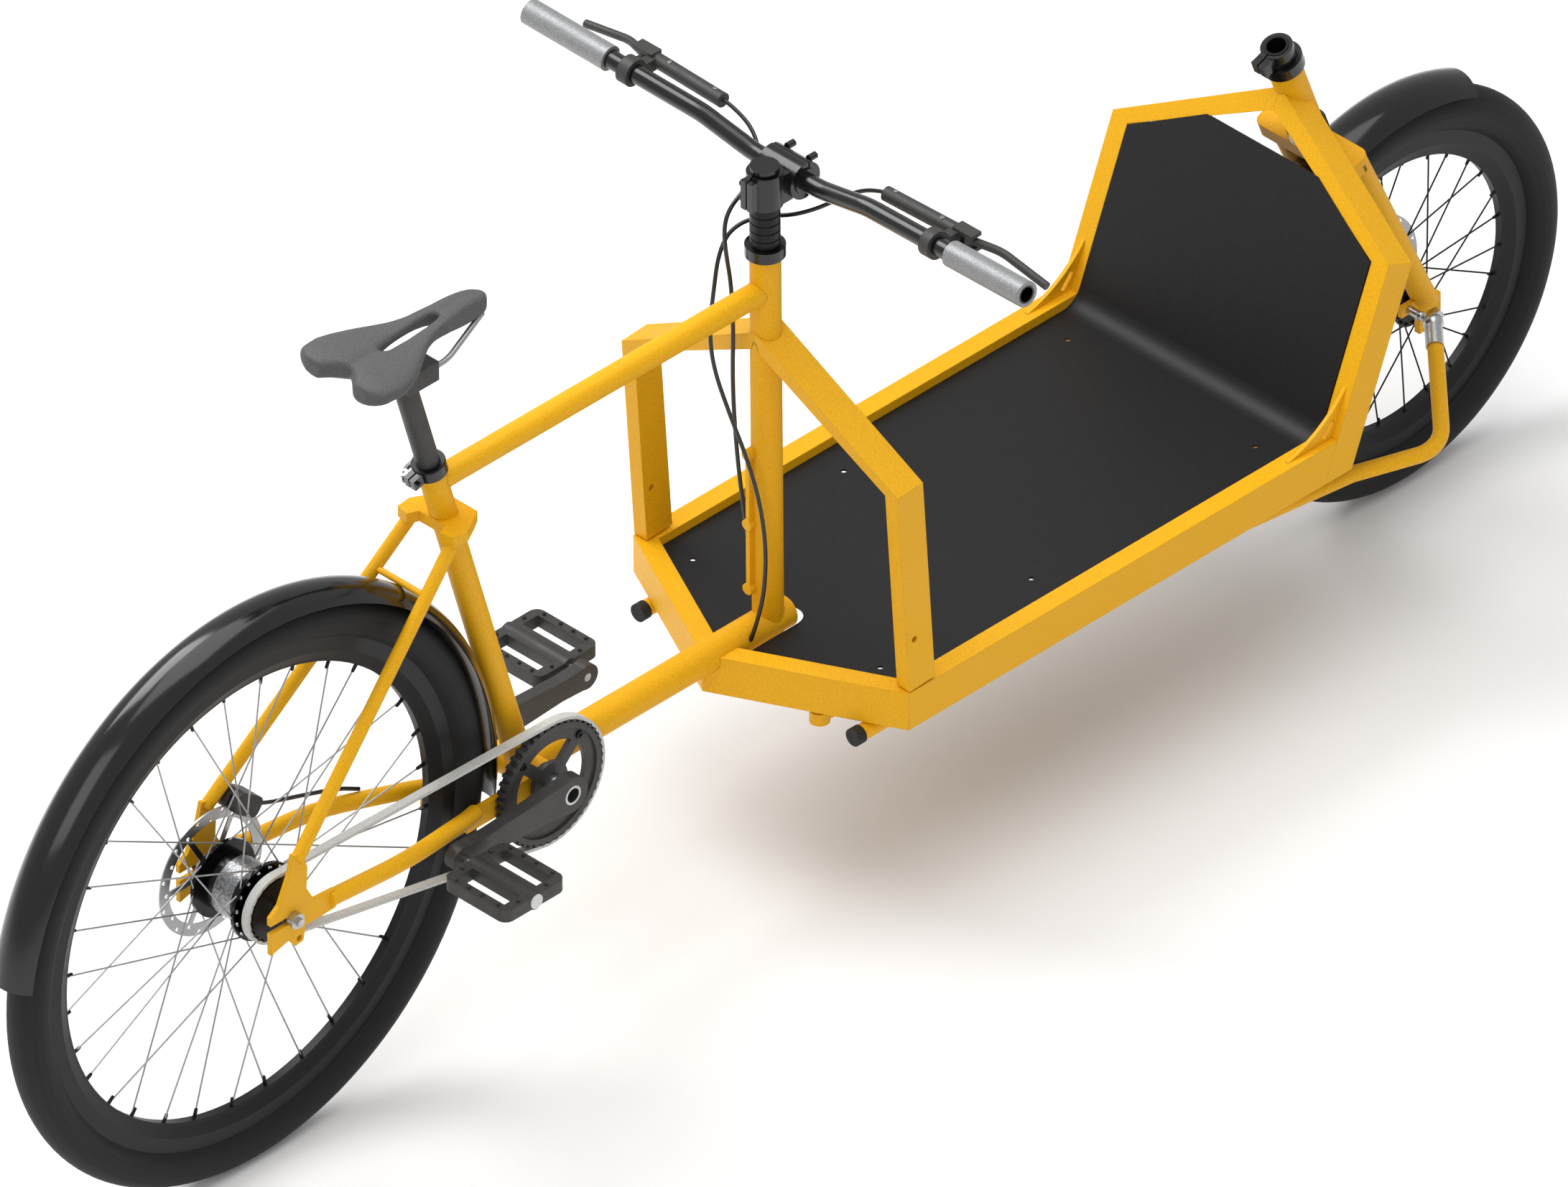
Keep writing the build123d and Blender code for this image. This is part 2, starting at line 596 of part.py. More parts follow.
def lever_perch():
    """The brake's master cylinder and the clamp that holds it beside the grip."""
    start = grip_end - bar_end_run * (grip_length + 38)
    clamp = rod(start, start + bar_end_run * 15, 17)
    middle = start + bar_end_run * 7.5
    neck = block((middle.X, 886), (middle.Y - 6.5, middle.Y + 6.5), (918, 932))
    cylinder = rod((881, 128, 925), (885, 247, 925), 9)
    ears = block((876, 892), (236, 266), (931, 936)) + block((876, 892), (236, 266), (912, 917))
    body = clamp + neck + cylinder + ears - hand_bar_solid
    return body - block((860, 900), (248, 300), (917, 931)) - lever_pin


def brake_lever():
    """A two-finger lever blade that sweeps along in front of the grip."""
    blade = pipe([(884, 257, 924), (898, 292, 918), (898, 362, 906)], 5, 60)
    eye = rod(lever_pivot - Vector(0, 0, 6.6), lever_pivot + Vector(0, 0, 6.6), 6.5)
    return blade + eye - lever_bore


save("lever_perches", both_sides(solids_of(lever_perch(), lever_pin)))
save("brake_lever_left", brake_lever())
save("brake_lever_right", mirrored(brake_lever()))

# fork
blade_top = Vector(1691, fork_offset_y, 529)
blade_foot = Vector(wheelbase - 6, fork_offset_y, front_axle.Z + 22)
blade_bar = rod(blade_top, blade_foot, blade_radius)
crown_face = Plane(origin=on_axis(-138), x_dir=(0, 1, 0), z_dir=axis_up)
crown = crown_face * fillet(Box(2 * fork_offset_y + 30, 38, 20).edges().filter_by(Axis.Z), 12)
fender_tab = block((1684, 1698), (-8, 8), (498, 520))
race = rod(on_axis(-130), on_axis(-head_tube_length - 14.5), 20)
steerer = rod(on_axis(-140), on_axis(35), 14.3) + crown + race + fender_tab
steerer_bore = rod(on_axis(-126), on_axis(60), 11.5)
front_ring = across(wheelbase, -60, 60, front_axle.Z, front_fender_radius + fender_wall)
save("fork_steerer", steerer - steerer_bore - both_sides(blade_bar) - front_ring)


def fork_blade():
    """A round blade, capped at the top, with a flat slotted tip around the axle."""
    tip = block((wheelbase - 20, wheelbase + 14), (fork_offset_y - 4, fork_offset_y + 4),
                (front_axle.Z - 16, front_axle.Z + 26))
    blade = blade_bar + tip
    blade -= across(wheelbase, 0, 90, front_axle.Z, axle_radius)
    return blade - block((wheelbase - axle_radius, wheelbase + axle_radius), (0, 90),
                         (front_axle.Z - 30, front_axle.Z))


steering_lug = block((1764, 1794), (-fork_offset_y - 3, -fork_offset_y + 3), (276, 290))
blade_right = mirrored(fork_blade()) + steering_lug
blade_core = rod(toward(blade_top, blade_foot, 4), toward(blade_foot, blade_top, 16), blade_radius - 2)
save("fork_blades", solids_of(fork_blade() - blade_core, blade_right - mirrored(blade_core)))
stud_tip = Vector(1776, -steer_arm, 283)
stud = across(stud_tip.X, -steer_arm, -fork_offset_y - 3, stud_tip.Z, 5) - blade_right
stud += Pos(*stud_tip) * Sphere(6)
save("steering_stud", stud)
collar_place = Plane(origin=on_axis(25), z_dir=axis_up)
collar = rod(on_axis(16), on_axis(34), 19)
collar += collar_place * (Pos(-24, 0, 0) * Box(18, 20, 16))
collar -= collar_place * (Pos(-30, 0, 0) * Box(36, 2, 20))
save("fork_collar", collar - rod(on_axis(-10), on_axis(80), 14.3))


def axle_set(centre, overhang, seat_y, thickness, right_sleeve, left_sleeve):
    """An axle with its lock sleeves inside the fork ends and its nuts outside them."""
    shaft = across(centre.X, -seat_y - overhang, seat_y + overhang, centre.Z, axle_radius)
    for low, high in (right_sleeve, left_sleeve):
        shaft += across(centre.X, low, high, centre.Z, 9)
    outer_face = seat_y + thickness
    nut = across(centre.X, outer_face, outer_face + 9, centre.Z, 9.5, axle_radius)
    return solids_of(shaft, both_sides(nut))


save("front_axle", axle_set(front_axle, 17, fork_offset_y - 4, 8, (-56, -38.5), (44.5, 56)))
save("rear_axle", axle_set(rear_axle, 20, dropout_y, dropout_thick, (-dropout_y, -50.5),
                           (54.5, dropout_y)) )

# linkage from the column to the fork
steer_lever = rod((mast_x, 0, arm_height - 12), (mast_x, 0, arm_height + 12), 22)
steer_lever += block((mast_x - 12, mast_x + 12), (-steer_arm, -10), (arm_height - 6, arm_height + 6))
steer_lever += rod(arm_pivot - Vector(0, 0, 6), arm_pivot + Vector(0, 0, 6), 12)
steer_lever -= block((mast_x - 5, mast_x + 5), (-62, -30), (200, 260))
steer_lever -= rod((mast_x, 0, 200), (mast_x, 0, 280), column_radius)
save("column_arm", steer_lever - arm_bolt)
eye_centre = arm_pivot - Vector(0, 0, 16)
rod_elbow = Vector(1662, -228, 231)
rod_eye = rod(eye_centre - Vector(0, 0, 8), eye_centre + Vector(0, 0, 8), 12)
rod_route = [eye_centre + Vector(8, 0, 0), (1556, -188, 229), rod_elbow, (1770, -109, 278)]
ball_centre = Vector(stud_tip.X, -steer_arm - 20, stud_tip.Z)
socket_end = ball_centre + (rod_elbow - ball_centre).normalized() * 34
ball_joint = Pos(*ball_centre) * Sphere(12) + rod(ball_centre, socket_end, 10.5)
tie_rod = pipe(rod_route, rod_radius, 45) + rod_eye - ball_joint
eye_bore = rod(eye_centre - Vector(0, 0, 20), eye_centre + Vector(0, 0, 20), 4 + running_gap)
rod_core = pipe([toward(eye_centre, rod_route[1], 16), rod_route[1], rod_elbow,
                 toward(rod_elbow, ball_centre, 70)], rod_radius - 2, 45)
save("tie_rod", tie_rod - eye_bore - rod_core)
save("rod_ball_joint", ball_joint)

# ---------------------------------------------------------------- fenders

def fender(centre, radius, start, end, half_width, drop):
    """A rolled guard of arched section, swept round the wheel from start to end degrees."""
    outer = ThreePointArc((radius - drop, half_width), (radius + fender_wall, 0),
                          (radius - drop, -half_width))
    inner = ThreePointArc((radius - drop, -half_width + fender_wall), (radius, 0),
                          (radius - drop, half_width - fender_wall))
    side_a = Line(outer @ 1, inner @ 0)
    side_b = Line(inner @ 1, outer @ 0)
    section = make_face(Wire([outer, side_a, inner, side_b]))
    plane = Plane(origin=centre, x_dir=(cos(radians(start)), 0, sin(radians(start))),
                  z_dir=Vector(-sin(radians(start)), 0, cos(radians(start))))
    placed = plane * section
    return revolve(placed, axis=Axis(centre, (0, -1, 0)), revolution_arc=end - start)


rear_guard = fender(rear_axle, rear_fender_radius, -9, fender_rear_angle, 30, 16)
save("rear_fender", rear_guard - stay_bridge)
save("front_fender", fender(front_axle, front_fender_radius, 66, 176, 34, 16))

# ---------------------------------------------------------------- drive

chainring_radius = chainring_teeth * belt_pitch / (2 * pi)
sprocket_radius = sprocket_teeth * belt_pitch / (2 * pi)
belt_width = 11.0
spindle_radius = 12.0
pedal_inner_y = crank_plane + 21
save("bottom_bracket_cups", both_sides(
    across(bottom_bracket.X, 18, shell_half, bottom_bracket.Z, cup_seat, spindle_radius + running_gap)
    + across(bottom_bracket.X, shell_half, shell_half + 3, bottom_bracket.Z, shell_radius,
             spindle_radius + running_gap)))


def chainring():
    """The front belt sprocket: a rim on four arms around the spindle."""
    y_low, y_high = -chain_line - 3, -chain_line + 3
    rim_part = across(bottom_bracket.X, -chain_line - 6, -chain_line + 6, bottom_bracket.Z,
                      chainring_radius - tooth_height, chainring_radius - 12)
    boss = across(bottom_bracket.X, y_low, y_high, bottom_bracket.Z, 26, spindle_radius)
    ring_part = rim_part + boss
    ring_part += across(bottom_bracket.X, y_low, y_high, bottom_bracket.Z, chainring_radius - 8,
                        chainring_radius - 27)
    for number in range(4):
        arm = Pos(45, 0, 0) * Box(52, y_high - y_low, 15)
        ring_part += Pos(bottom_bracket.X, -chain_line, bottom_bracket.Z) * Rot(0, 45 + 90 * number, 0) * arm
    return ring_part - across(bottom_bracket.X, -80, 80, bottom_bracket.Z, spindle_radius)


save("chainring", chainring())
rear_cog = across(0, -chain_line - 6, -chain_line + 6, rear_axle.Z, sprocket_radius - tooth_height,
                  hub_bore)
save("rear_sprocket", rear_cog)


def belt():
    """The closed toothed belt, as a flat band around both sprockets."""
    centre_gap = sqrt(bottom_bracket.X ** 2 + (rear_axle.Z - bottom_bracket.Z) ** 2)
    tilt = degrees(atan2(bottom_bracket.Z - rear_axle.Z, bottom_bracket.X))
    swing = degrees(atan2(chainring_radius - sprocket_radius, centre_gap))

    def loop(extra):
        big = chainring_radius + extra
        small = sprocket_radius + extra
        front = Pos(centre_gap, 0) * Circle(big)
        rear = Circle(small)
        lift = radians(90 + swing)
        side = [(small * cos(lift), small * sin(lift)),
                (centre_gap + big * cos(lift), big * sin(lift)),
                (centre_gap + big * cos(lift), -big * sin(lift)),
                (small * cos(lift), -small * sin(lift))]
        return front + rear + make_face(Polyline(*side, close=True))

    plane = Plane(origin=(0, -chain_line + belt_width / 2, rear_axle.Z), x_dir=(cos(radians(tilt)), 0,
                  sin(radians(tilt))), z_dir=(0, -1, 0))
    return extrude(plane * (loop(1.8) - loop(-2.2)), belt_width)


save("drive_belt", belt())


def crank_arm(forward):
    """A tapering arm with a boss at each end; it points forward or back at rest."""
    reach = crank_length if forward else -crank_length
    y_low, y_high = crank_plane - 8, crank_plane + 8
    hub_end = Pos(bottom_bracket.X, 0, bottom_bracket.Z)
    plane = Plane(origin=(bottom_bracket.X, y_low, bottom_bracket.Z), x_dir=(1, 0, 0), z_dir=(0, -1, 0))
    sense = 1 if forward else -1
    outline = [(0, 22), (sense * 60, 17), (sense * 130, 13), (reach, 15), (reach, -15),
               (sense * 130, -13), (sense * 60, -17), (0, -22)]
    web = extrude(plane * make_face(Polyline(*outline, close=True)), -(y_high - y_low))
    arm = web + across(bottom_bracket.X, y_low, y_high, bottom_bracket.Z, 23)
    arm += across(bottom_bracket.X + reach, y_low, y_high, bottom_bracket.Z, 16)
    arm -= across(bottom_bracket.X, 0, 100, bottom_bracket.Z, spindle_radius)
    arm -= across(bottom_bracket.X + reach, 0, 120, bottom_bracket.Z, 5)
    return arm


save("crank_arms", solids_of(crank_arm(True), mirrored(crank_arm(False))))
pedal_left_x = bottom_bracket.X + crank_length
pedal_right_x = bottom_bracket.X - crank_length
spindle = across(bottom_bracket.X, -crank_plane - 8, crank_plane + 8, bottom_bracket.Z, spindle_radius,
                 spindle_radius - 3)
pedal_axle_end = pedal_inner_y + pedal_length - 13
save("crank_axles", solids_of(
    spindle, across(pedal_left_x, crank_plane - 8, pedal_axle_end, bottom_bracket.Z, 5),
    across(pedal_right_x, -pedal_axle_end, 8 - crank_plane, bottom_bracket.Z, 5)))


def pedal(x):
    """A caged flat platform: a frame around the bearing tube with open windows."""
    y_low, y_high = pedal_inner_y, pedal_inner_y + pedal_length
    half = pedal_width / 2
    z = bottom_bracket.Z
    body = block((x - half, x + half), (y_low, y_high), (z - 8, z + 8))
    windows = block((x - half + 11, x - 13), (y_low + 13, y_high - 13), (z - 20, z + 20))
    windows += block((x + 13, x + half - 11), (y_low + 13, y_high - 13), (z - 20, z + 20))
    body -= windows
    body += across(x, y_low, y_high, z, 10.5)
    corner_edges = body.edges().filter_by(Axis.Z).sort_by(Axis.X)
    outside = [edge for edge in corner_edges if abs(abs(edge.center().X - x) - half) < 0.5]
    body = fillet(outside, 12)
    return body - across(x, y_low - 5, y_high - 12, z, 5 + running_gap)


save("pedal_left", pedal(pedal_left_x))
save("pedal_right", mirrored(pedal(pedal_right_x)))

# ---------------------------------------------------------------- saddle

post_foot = bottom_bracket + seat_up * 290
post_head = seat_mouth + seat_up * 136
collar_height = 14.0
collar_base = seat_mouth - seat_up * collar_height
behind = Vector(0, 1, 0).cross(seat_up) * -1
ear_centre = seat_mouth - seat_up * (collar_height / 2) + behind * 26
ear_plane = Plane(origin=ear_centre, x_dir=behind, z_dir=seat_up)
ear_bolt = rod(ear_centre - Vector(0, 12, 0), ear_centre + Vector(0, 8, 0), 2.5)
ear_bolt += ear_plane * (Pos(0, -11, 0) * Box(5, 6, 4) + Pos(0, -14, 0) * Cylinder(4, 4))
cam_centre = (ear_plane * Pos(0, -14, 0)).position
cam_pin = rod(cam_centre - seat_up * 6, cam_centre + seat_up * 6, 1.8)
seat_collar = rod(collar_base, seat_mouth, 20) + ear_plane * (Pos(-4, 0, 0) * Box(20, 16, collar_height))
seat_collar -= ear_plane * (Pos(-4, 0, 0) * Box(34, 2, 40))
seat_collar -= rod(bottom_bracket, seat_mouth + seat_up * 9, seat_tube_radius)
ear_bolt += cam_pin
save("seat_collar", solids_of(seat_collar - ear_bolt, ear_bolt))


def collar_lever():
    """The quick-release lever, forked around the bolt's flat end."""
    head = rod(cam_centre - seat_up * 6, cam_centre + seat_up * 6, 5.5)
    blade = pipe([cam_centre, cam_centre + Vector(10, 9, 0), cam_centre + Vector(54, 15, 2)], 3.2, 20)
    gap = ear_plane * (Cylinder(9, 4.6) - Pos(-9.6, 0, 0) * Box(10, 30, 6))
    gap = gap.moved(Location(cam_centre - ear_centre))
    return head + blade - gap - rod(cam_centre - seat_up * 9, cam_centre + seat_up * 9, 1.8 + running_gap)


save("seat_collar_lever", collar_lever())

saddle_x = post_head.X + 8
rail_z = post_head.Z + 14
rail_line = [(saddle_x - 88, 26, rail_z + 20), (saddle_x - 52, 22, rail_z), (saddle_x + 40, 22, rail_z),
             (saddle_x + 108, 8, rail_z + 22)]
saddle_rail = pipe(rail_line, 3.5, 60)
save("saddle_rails", both_sides(saddle_rail))
head_block = block((saddle_x - 24, saddle_x + 22), (-27, 27), (post_head.Z - 2, rail_z + 9))
head_block -= both_sides(saddle_rail)
post = rod(post_foot, post_head, post_radius) + head_block
save("seatpost", post - rod(post_foot - seat_up, post_head - seat_up * 12, post_radius - 2))


def saddle():
    """The padded saddle as a plain closed body of its true plan shape."""
    base = rail_z + 21
    level = Plane(origin=(0, 0, base))
    tail = saddle_x - 112
    nose = saddle_x + 120
    points = [(tail + 14, 0), (tail + 2, 22), (tail, 46), (tail + 12, 68), (tail + 38, 72),
              (tail + 70, 60), (tail + 100, 40), (tail + 130, 25), (tail + 180, 19), (nose - 12, 16),
              (nose, 0)]
    far_side = [(x, -y) for x, y in points]
    outline = make_face([Spline(*points).edge(), Spline(*far_side).edge()])
    return extrude(level * outline, 32) - both_sides(saddle_rail)


save("saddle", saddle())

# ---------------------------------------------------------------- stand

leg_end = stand_pivot.X - stand_reach + foot_length
stand_leg = pipe([(stand_pivot.X, 60, stand_pivot.Z), (stand_pivot.X, stand_leg_y, stand_pivot.Z),
                  (leg_end, stand_leg_y, stand_pivot.Z)], leg_radius, 24, leg_radius - leg_wall)
stand_bar = across(stand_pivot.X, -60, 60, stand_pivot.Z, leg_radius, leg_radius - leg_wall)
save("stand_legs", stand_leg + mirrored(stand_leg) + stand_bar)
save("stand_feet", both_sides(rod((leg_end - foot_length, stand_leg_y, stand_pivot.Z),
                                  (leg_end, stand_leg_y, stand_pivot.Z), leg_radius + 1)))

# ---------------------------------------------------------------- brakes, hoses and guides

def caliper(x, y, z, tilt):
    """A brake body that straddles the disc's edge, reaching further out than in."""
    body = Pos(0, 4, 0) * fillet(Box(44, 30, 26).edges().filter_by(Axis.Y), 9)
    gap = Pos(0, 0, -8) * Box(60, 5, 26)
    return Pos(x, y, z) * Rot(0, tilt, 0) * (body - gap)


rear_body = caliper(50, rear_rotor_y + 0.9, rear_axle.Z + 68, 36) - dropout_pair - both_sides(seatstay)
save("rear_brake_caliper", rear_body)
front_body = caliper(wheelbase - 50, front_rotor_y + 0.9, front_axle.Z + 61, -39)
save("front_brake_caliper", front_body - fork_blade())

perch_body = both_sides(lever_perch())
steering_hoses = [pipe(route, hose_radius, 400) for route in (hose_left, hose_right)]
for route, hose in zip((hose_left, hose_right), steering_hoses):
    run = FilletPolyline(*route, radius=bend_radii(route, 400))
    print("hose length", round(run.length, 1), "smallest arc", round(min(bend_radii(route, 400))))
save("steering_hoses", solids_of(*[hose - perch_body for hose in steering_hoses]))
hose_rear = [(76, 56, 412), (98, 60, 400), (128, 66, 386), (166, 68, 372), (210, 66, 358), (238, 62, 345)]
save("rear_brake_hose", pipe(hose_rear, hose_radius, 300) - both_sides(chainstay) - rear_body)

print(len(saved_nodes), "nodes written")
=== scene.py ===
# Cargo bicycle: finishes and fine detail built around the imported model.
import json
import math

import bmesh
import bpy
from mathutils import Matrix, Vector


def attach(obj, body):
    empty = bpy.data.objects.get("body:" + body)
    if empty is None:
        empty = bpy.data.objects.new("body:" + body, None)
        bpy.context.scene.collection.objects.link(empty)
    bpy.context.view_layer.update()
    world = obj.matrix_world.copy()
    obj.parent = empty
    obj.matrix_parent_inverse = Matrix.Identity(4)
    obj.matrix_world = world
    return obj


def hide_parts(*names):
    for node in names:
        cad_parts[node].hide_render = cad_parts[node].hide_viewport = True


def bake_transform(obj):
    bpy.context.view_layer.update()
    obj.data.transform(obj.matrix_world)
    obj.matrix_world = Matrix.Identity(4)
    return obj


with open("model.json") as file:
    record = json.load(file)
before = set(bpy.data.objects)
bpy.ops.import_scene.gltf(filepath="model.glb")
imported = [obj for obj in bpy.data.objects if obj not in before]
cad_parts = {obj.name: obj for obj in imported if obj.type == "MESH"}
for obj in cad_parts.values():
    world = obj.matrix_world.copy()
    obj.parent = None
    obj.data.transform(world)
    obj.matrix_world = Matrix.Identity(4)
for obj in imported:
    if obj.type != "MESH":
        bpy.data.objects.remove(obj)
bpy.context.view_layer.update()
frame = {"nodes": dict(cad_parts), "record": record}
nodes = frame["nodes"]
scene = bpy.context.scene
# mm, measured forward from the rear axle and up from the floor
middleX = 846.839
rearX, rearZ = 0, 360
frontX, frontZ = 1812, 257
crankX, crankZ = 430, 310


def at(x, y, z):
    # millimetres measured from the rear axle's foot, to metres in the model's frame
    return Vector(((x - middleX) / 1000, y / 1000, z / 1000))


def linear(hexText):
    # sRGB hex to the linear values a shader wants
    parts = [int(hexText[i:i + 2], 16) / 255 for i in (1, 3, 5)]
    return [p / 12.92 if p <= 0.04045 else ((p + 0.055) / 1.055) ** 2.4 for p in parts] + [1.0]


def addNode(tree, kind, settings=None, links=None):
    # one node, with its settings, and each input either linked or given a value
    node = tree.nodes.new(kind)
    for key, value in (settings or {}).items():
        setattr(node, key, value)
    for socket, source in (links or {}).items():
        if isinstance(source, bpy.types.NodeSocket):
            tree.links.new(source, node.inputs[socket])
        else:
            node.inputs[socket].default_value = source
    return node


# camera, lamps and floor
studio = {
    "aim": (-0.0032, 0.0, 0.3411),
    "lens": 1200.0,          # long enough to look square-on from everywhere
    "imageWidth": 1.751,     # metres across the picture at the aim
    "sensorHalf": 18.0,      # half of the usual 36 mm sensor
    "clipEnd": 400,          # metres, well past the floor
    "noseUp": 0.493,         # degrees the bicycle stands nose up in the view
    "tipAt": (0, 0, 361),    # mm, the point it tips about, by the rear axle
    "skyLight": "#FFFFFF",
    "skyStrength": 0.55,
    "floorTone": "#FFFFFF",
    "floorRough": 0.9,
    "floorReach": 30.0,      # metres from the middle to an edge
    "lampsAim": (0, 0, 0.4),      # metres, the point every lamp faces
    # name, where it hangs in metres, its width in metres, its power in watts
    "lamps": [("keyLight", (-0.5, 2.4, 3.6), 2.2, 84), ("topLight", (0.2, -0.2, 4.2), 3.4, 72),
              ("rearLight", (-3.6, -1.0, 3.2), 2.4, 30)],
}


def makeStudio():
    lensData = bpy.data.cameras.new("camera")
    lensData.lens = studio["lens"]
    lensData.clip_end = studio["clipEnd"]
    camera = bpy.data.objects.new("camera", lensData)
    scene.collection.objects.link(camera)
    scene.camera = camera
    back = Vector((-1, -1, 1)).normalized()
    distance = studio["imageWidth"] / 2 * studio["lens"] / studio["sensorHalf"]
    spot = Vector(studio["aim"]) + back * distance
    turn = (-back).to_track_quat("-Z", "Y").to_matrix().to_4x4()
    pivot = Matrix.Translation(at(*studio["tipAt"]))
    tip = pivot @ Matrix.Rotation(math.radians(studio["noseUp"]), 4, "Y") @ pivot.inverted()
    camera.matrix_world = tip @ Matrix.Translation(spot) @ turn

    world = bpy.data.worlds.new("softStudio")
    scene.world = world
    world.use_nodes = True
    sky = world.node_tree.nodes["Background"]
    sky.inputs["Color"].default_value = linear(studio["skyLight"])
    sky.inputs["Strength"].default_value = studio["skyStrength"]
    scene.view_settings.view_transform = "Standard"

    for name, spotAt, size, power in studio["lamps"]:
        data = bpy.data.lights.new(name, "AREA")
        data.size = size
        data.energy = power
        lamp = bpy.data.objects.new(name, data)
        scene.collection.objects.link(lamp)
        lamp.location = spotAt
        toAim = Vector(studio["lampsAim"]) - lamp.location
        lamp.rotation_euler = toAim.to_track_quat("-Z", "Y").to_euler()

    floorMesh = bpy.data.meshes.new("floor")
    reach = studio["floorReach"]
    corners = [(-reach, -reach, 0), (reach, -reach, 0), (reach, reach, 0), (-reach, reach, 0)]
    floorMesh.from_pydata(corners, [], [(0, 1, 2, 3)])
    floor = bpy.data.objects.new("floor", floorMesh)
    scene.collection.objects.link(floor)
    paper = bpy.data.materials.new("palePaper")
    paper.use_nodes = True
    shader = paper.node_tree.nodes["Principled BSDF"]
    shader.inputs["Base Color"].default_value = linear(studio["floorTone"])
    shader.inputs["Roughness"].default_value = studio["floorRough"]
    floorMesh.materials.append(paper)


makeStudio()
print("studio ready")

# each look: two tones mixed by a grain, a slow drift of roughness, a bump and rounded edges;
# grain, drift, bump and edge are sizes in mm
looks = {
    # powder-coated steel: an even satin yellow with a sandy speckle, drawn at 1.5 mm so that it shows
    "powderCoatYellow": {"tones": ("#F2B412", "#E0A40E"), "grain": 1.5, "drift": 90, "bump": 0.10,
                         "rough": (0.42, 0.54), "metallic": 0.0, "coat": 0.0, "shine": 0.22,
                         "edge": 1.4},
    # textured powder coat on folded sheet: dark grey with a tight matte grain
    "powderCoatCharcoal": {"tones": ("#1B1B1C", "#121213"), "grain": 1.6, "drift": 200, "bump": 0.12,
                           "rough": (0.45, 0.48), "metallic": 0.0, "coat": 0.0, "shine": 0.3,
                           "edge": 0.8},
    # gloss enamel on rolled guards: near black with sharp lamps in it
    "glossEnamelBlack": {"tones": ("#0F0F10", "#0B0B0C"), "grain": 6.0, "drift": 60, "bump": 0.01,
                         "rough": (0.14, 0.22), "metallic": 0.0, "coat": 0.35, "shine": 0.4,
                         "edge": 0.6},
    # hard anodised aluminium: black with a soft metallic edge
    "anodisedBlack": {"tones": ("#18181A", "#101011"), "grain": 1.2, "drift": 50, "bump": 0.03,
                      "rough": (0.30, 0.42), "metallic": 0.55, "coat": 0.0, "shine": 0.5, "edge": 0.7},
    # gloss paint over a drawn bar: black, long clean highlights
    "barPaintBlack": {"tones": ("#101011", "#0B0B0C"), "grain": 4.0, "drift": 50, "bump": 0.01,
                      "rough": (0.20, 0.28), "metallic": 0.2, "coat": 0.4, "shine": 0.5, "edge": 0.5},
    # die-cast aluminium, bead blasted and stained grey: cranks, pedals, levers
    "castGrey": {"tones": ("#444342", "#353433"), "grain": 1.6, "drift": 40, "bump": 0.08,
                 "rough": (0.44, 0.58), "metallic": 0.25, "coat": 0.0, "shine": 0.5, "edge": 1.3},
    # zinc-plated steel: bright, slightly clouded
    "zincPlate": {"tones": ("#C9CACB", "#AEB0B2"), "grain": 2.0, "drift": 14, "bump": 0.03,
                  "rough": (0.24, 0.38), "metallic": 1.0, "coat": 0.0, "shine": 0.5, "edge": 0.5},
    # drawn stainless wire: bright grey line
    "drawnStainless": {"tones": ("#B4B5B7", "#97989A"), "grain": 1.2, "drift": 30, "bump": 0.01,
                       "rough": (0.36, 0.46), "metallic": 1.0, "coat": 0.0, "shine": 0.5, "edge": 0.2},
    # blackened spoke wire: plain dark line with a faint sheen
    "blackenedWire": {"tones": ("#161617", "#101011"), "grain": 1.5, "drift": 30, "bump": 0.01,
                      "rough": (0.34, 0.44), "metallic": 0.4, "coat": 0.0, "shine": 0.5, "edge": 0.2},
    # polyurethane belt: pale grey, chalky and faintly flecked
    "beltPolyurethane": {"tones": ("#CFCFCB", "#B4B4B0"), "grain": 1.4, "drift": 60, "bump": 0.10,
                         "rough": (0.55, 0.68), "metallic": 0.0, "coat": 0.0, "shine": 0.5, "edge": 1.0},
    # moulded rubber grip filled with pale chips: grey with a coarse sparkle
    "fleckedGripRubber": {"tones": ("#9FA0A1", "#7C7D7E"), "grain": 1.3, "drift": 40, "bump": 0.10,
                          "rough": (0.36, 0.48), "metallic": 0.35, "coat": 0.0, "shine": 0.5,
                          "edge": 1.2},
    # extruded nylon jacket: black with a waxy light along it
    "hoseNylon": {"tones": ("#1C1C1D", "#141415"), "grain": 3.0, "drift": 40, "bump": 0.01,
                  "rough": (0.26, 0.34), "metallic": 0.0, "coat": 0.2, "shine": 0.5, "edge": 0.3},
    # moulded rubber foot: dull black
    "footRubber": {"tones": ("#1D1D1D", "#121212"), "grain": 1.6, "drift": 20, "bump": 0.10,
                   "rough": (0.66, 0.78), "metallic": 0.0, "coat": 0.0, "shine": 0.5, "edge": 1.4},
    # injection-moulded nylon end cap: off white, slightly waxy
    "nylonWhite": {"tones": ("#DEDEDC", "#D0D0CE"), "grain": 2.0, "drift": 30, "bump": 0.02,
                   "rough": (0.36, 0.46), "metallic": 0.0, "coat": 0.0, "shine": 0.5, "edge": 0.5},
}


# what the noise textures mostly give; a wider span would leave the tones grey
grainSpan = (0.38, 0.62)
driftSpan = (0.3, 0.7)
coatRough = 0.12


def startMaterial(name):
    material = bpy.data.materials.new(name)
    material.use_nodes = True
    material.node_tree.nodes.clear()
    tree = material.node_tree
    return material, tree, addNode(tree, "ShaderNodeTexCoord").outputs["Object"]


